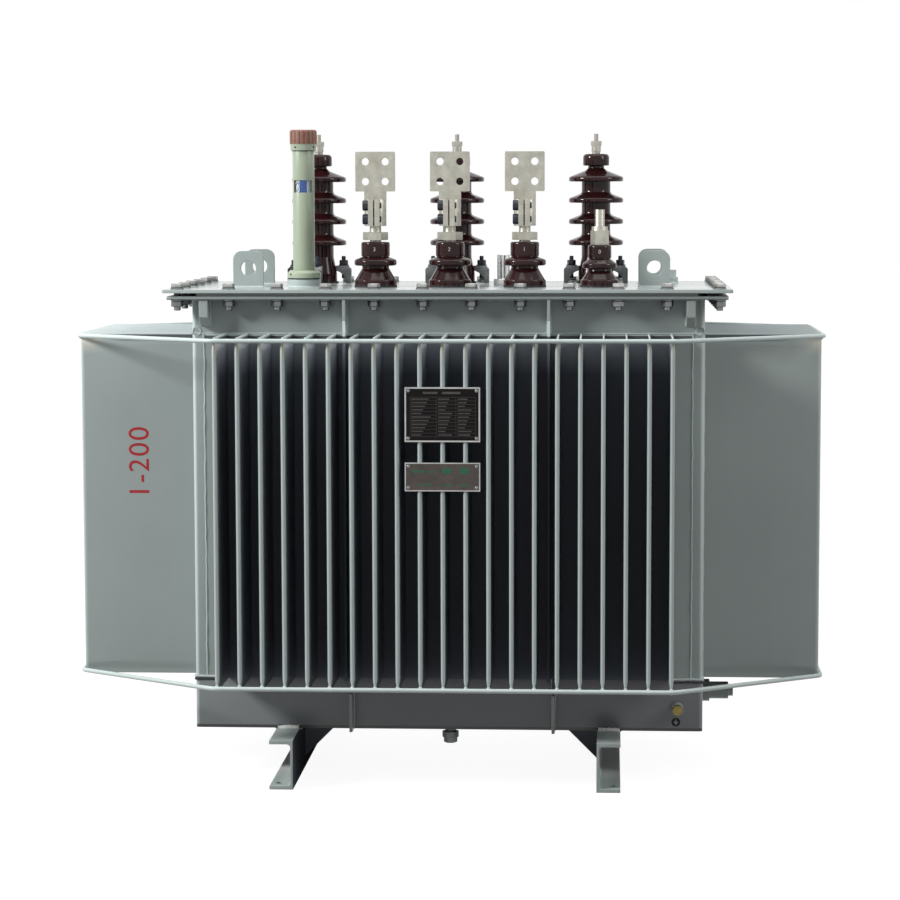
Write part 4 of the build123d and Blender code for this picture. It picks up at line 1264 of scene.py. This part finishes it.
class TRANSFORMER_OT_plates(bpy.types.Operator):
    """Rating plate with a blank table of plain rows, and a smaller info plate"""
    bl_idname = "transformer.plates"
    bl_label = "Plates"

    def execute(self, context):
        for node in ("rating_plate", "info_plate"):
            softened(node, "plate_metal", 0.0005)
        self.plate("rating_plate", 0.0035, "plate_face", self.table, "plate_print")
        self.plate("info_plate", 0.0025, "info_face", self.entries, "info_print")
        return {"FINISHED"}

    def plate(self, node, border, face_finish, rows, print_finish):
        """The coloured face of a plate and the print on it."""
        low, high = span(node)
        inner = [(low.x + border, low.z + border, high.x - border, high.z - border)]
        put(node + "_face", bars(inner, PLATE_FACE_DEPTH, low.y), face_finish)
        put(node + "_print", bars(rows(low, high), PRINT_DEPTH, low.y - PLATE_FACE_DEPTH), print_finish)

    def entries(self, low, high):
        """Plain bars of the info plate, from its upper and its lower edge."""
        upper = ((0.016, -0.022, 0.042, -0.017), (0.050, -0.021, 0.068, -0.018), (0.082, -0.024, 0.102, -0.012),
                 (0.120, -0.024, 0.140, -0.012))
        lower = ((0.080, 0.012, 0.104, 0.015), (0.118, 0.012, 0.142, 0.015), (0.030, 0.013, 0.060, 0.016))
        return [(low.x + left, edge + bottom, low.x + right, edge + top)
                for edge, group in ((high.z, upper), (low.z, lower)) for left, bottom, right, top in group]

    def table(self, low, high):
        """Rules and blank entries of the rating table, in a plain repeating order."""
        left, right, top, bottom = low.x + 0.012, high.x - 0.010, high.z - 0.022, low.z + 0.012
        width, lines, rule = right - left, 11, 0.0003
        rows = []
        for x in (left + width * share for share in (0.0, 0.40, 0.70, 1.0)):
            rows.append((x - rule, bottom, x + rule, top))
        for line in range(lines + 1):
            z = bottom + (top - bottom) * line / lines
            rows.append((left, z - rule, right, z + rule))
            if line == lines:
                continue
            for column, (start, room) in enumerate(((0.02, 0.34), (0.43, 0.24), (0.73, 0.24))):
                used = room * (0.45 + 0.5 * ((line * 7 + column * 5) % 6) / 6)
                x = left + width * start
                rows.append((x, z + 0.0024, x + width * used, z + 0.0050))
        return rows + [(low.x + start, high.z - 0.015, low.x + end, high.z - 0.010)
                       for start, end in ((0.040, 0.072), (0.082, 0.122))]


class TRANSFORMER_OT_marks(bpy.types.Operator):
    """Stencilled numerals on the end fin, digits on the porcelain and the earth mark"""
    bl_idname = "transformer.marks"
    bl_label = "Marks"

    def execute(self, context):
        fins = settings("fins")
        fin_face = -((fins.end_count - 1) / 2 * fins.pitch + fins.thickness / 2)
        fin_middle, mark_height = -0.704, 0.711
        self.numerals("end_fin_numerals", "1-200", 0.067, Matrix.Translation((fin_middle, fin_face, mark_height))
                      @ TO_FRONT @ Matrix.Rotation(QUARTER, 4, "Z"), "mark", "paint")
        for digit, node, rise, radius in (
                ("3", "lv_bushing_1", 0.086, LV_RADIUS), ("2", "lv_bushing_2", 0.086, LV_RADIUS),
                ("1", "lv_bushing_3", 0.086, LV_RADIUS), ("0", "neutral_bushing", 0.080, NEUTRAL_RADIUS)):
            self.numerals("digit_" + node, digit, 0.012, standing(node, rise) @ TO_FRONT, "white_print", "porcelain",
                          (middle(node), radius))
        self.earth_mark()
        return {"FINISHED"}

    def numerals(self, name, text, height, at, finish, slot, around=None):
        """Text as a thin mesh, centred; wrapped round an upright cylinder (centre, radius) if one is given."""
        curve = bpy.data.curves.new(name, "FONT")
        curve.body, curve.size = text, height
        curve.align_x, curve.align_y = "CENTER", "CENTER"
        curve.extrude, curve.resolution_u, curve.space_character = 0.0001, 6, 1.08
        holder = linked(name + "_text", curve)
        graph = bpy.context.evaluated_depsgraph_get()
        mesh = bpy.data.meshes.new_from_object(holder.evaluated_get(graph))
        bpy.data.objects.remove(holder)
        mesh.transform(at)
        if around:
            centre, radius = around
            for vertex in mesh.vertices:
                turn, reach = (vertex.co.x - centre.x) / radius, radius + centre.y - vertex.co.y
                vertex.co.x, vertex.co.y = centre.x + reach * math.sin(turn), centre.y - reach * math.cos(turn)
        mesh.name = name
        mesh.materials.clear()
        put(name, smooth(mesh), finish)

    def earth_mark(self):
        """A round black sign with the plain earth symbol, below the earthing bolt."""
        bolt, aside, below, radius = middle("earthing_stud"), 0.003, 0.033, 0.0098
        centre = Vector((bolt.x - aside, span("lower_band")[0].y, bolt.z - below))
        disc = Shape().turned([(radius, 0.0), (radius, PLATE_FACE_DEPTH)], Matrix.Translation(centre) @ TO_FRONT, 36)
        put("earth_sign", disc, "black_print")
        rows = [(centre.x - half, centre.z + low, centre.x + half, centre.z + high) for half, low, high in (
            (0.0006, 0.0005, 0.0062), (0.0055, -0.0006, 0.0006), (0.0036, -0.0030, -0.0018),
            (0.0018, -0.0054, -0.0042))]
        put("earth_symbol", bars(rows, PRINT_DEPTH, centre.y - PLATE_FACE_DEPTH), "white_print")


class TRANSFORMER_OT_studio(bpy.types.Operator):
    """White floor and room, soft lamps and the camera"""
    bl_idname = "transformer.studio"
    bl_label = "Studio"

    def execute(self, context):
        studio = settings("studio")
        self.floor()
        self.room(studio.sky)
        self.lamp("key_lamp", (-3.9, -2.0, 2.9), (-0.3, -0.2, 0.8), (1.1, 1.1), studio.key)
        self.lamp("right_lamp", (3.4, -1.5, 2.7), (0.3, -0.1, 0.8), (1.2, 2.2), studio.fill)
        self.lamp("top_lamp", (0.2, -0.6, 4.2), (0.0, 0.0, 1.0), (3.4, 2.2), studio.top)
        self.camera(studio.lens)
        context.scene.view_settings.view_transform = "Standard"
        return {"FINISHED"}

    def camera(self, lens):
        """The photograph's view: the camera's place, then its turn to the left, its dip and its roll."""
        data = bpy.data.cameras.new("camera")
        data.lens, data.sensor_width = lens, 36.0
        data.clip_start, data.clip_end = 0.1, 60.0
        place, turn, dip, roll = (0.36009, -6.36492, 1.32053), 0.05787, 0.09347, -0.00219
        camera = linked("camera", data)
        camera.matrix_world = (Matrix.Translation(place) @ Matrix.Rotation(turn, 4, "Z")
                               @ Matrix.Rotation(QUARTER - dip, 4, "X") @ Matrix.Rotation(roll, 4, "Z"))
        bpy.context.scene.camera = camera

    def lamp(self, name, place, target, size, power):
        data = bpy.data.lights.new(name, "AREA")
        data.shape, data.size, data.size_y, data.energy = "RECTANGLE", size[0], size[1], power
        aim = (Vector(target) - Vector(place)).to_track_quat("-Z", "Y")
        linked(name, data).matrix_world = Matrix.Translation(place) @ aim.to_matrix().to_4x4()

    def floor(self):
        """A wide pale floor that the camera sees as white, apart from the transformer's shadow."""
        mesh = Shape().turned([(40.0, -0.002), (40.0, 0.0)], segments=64).mesh("floor")
        material = bpy.data.materials.new("floor")
        material.use_nodes = True
        tree = Tree(material.node_tree)
        shader = tree.tree.nodes["Principled BSDF"].inputs
        for name, value in (("Base Color", (0.15, 0.15, 0.15, 1)), ("Roughness", 0.8), ("Emission Color", (1, 1, 1, 1)),
                            ("Emission Strength", tree.product(self.seen(tree), 0.93))):
            tree.feed(shader[name], value)
        mesh.materials.append(material)
        linked("floor", mesh)

    def seen(self, tree):
        """1 for rays that the camera, a glossy surface or glass sends out, 0 for the light on the object."""
        rays = tree.tree.nodes.new("ShaderNodeLightPath").outputs
        total = rays["Is Camera Ray"]
        for name in ("Is Glossy Ray", "Is Transmission Ray"):
            total = tree.math("MAXIMUM", total, rays[name])
        return total

    def room(self, strength):
        world = bpy.data.worlds.new("white_room")
        world.use_nodes = True
        bpy.context.scene.world = world
        tree = Tree(world.node_tree)
        background = tree.tree.nodes["Background"].inputs
        background["Color"].default_value = (1, 1, 1, 1)
        tree.feed(background["Strength"], tree.node("ShaderNodeMapRange", {
            "Value": self.seen(tree), "To Min": strength, "To Max": 1.0}))


class TRANSFORMER_PT_panel(bpy.types.Panel):
    """Sidebar panel that lists the transformer's pieces and settings"""
    bl_idname = "TRANSFORMER_PT_panel"
    bl_label = "Transformer"
    bl_space_type = "VIEW_3D"
    bl_region_type = "UI"
    bl_category = "Transformer"

    def draw(self, context):
        for group in GROUPS:
            box = self.layout.box()
            box.label(text=group.title())
            for name in settings(group).__annotations__:
                box.prop(settings(group), name)
        for operator in OPERATORS:
            self.layout.operator(operator.bl_idname, text=operator.bl_label)


GROUPS = {"finishes": TransformerFinishes, "fins": TransformerFins, "fasteners": TransformerFasteners,
          "studio": TransformerStudio}
OPERATORS = (
    TRANSFORMER_OT_studio, TRANSFORMER_OT_tank, TRANSFORMER_OT_fins, TRANSFORMER_OT_rods,
    TRANSFORMER_OT_high_voltage, TRANSFORMER_OT_low_voltage, TRANSFORMER_OT_oil_gauge, TRANSFORMER_OT_fittings,
    TRANSFORMER_OT_fasteners, TRANSFORMER_OT_welds, TRANSFORMER_OT_rod_tacks, TRANSFORMER_OT_plates,
    TRANSFORMER_OT_marks)


def register():
    for each in (*GROUPS.values(), *OPERATORS, TRANSFORMER_PT_panel):
        bpy.utils.register_class(each)
    for name, group in GROUPS.items():
        setattr(bpy.types.Scene, "transformer_" + name, bpy.props.PointerProperty(type=group))


def unregister():
    for name in GROUPS:
        delattr(bpy.types.Scene, "transformer_" + name)
    for each in reversed((*GROUPS.values(), *OPERATORS, TRANSFORMER_PT_panel)):
        bpy.utils.unregister_class(each)


def main():
    register()
    for operator in OPERATORS:
        group, name = operator.bl_idname.split(".")
        getattr(getattr(bpy.ops, group), name)()


if __name__ == "__main__":
    main()
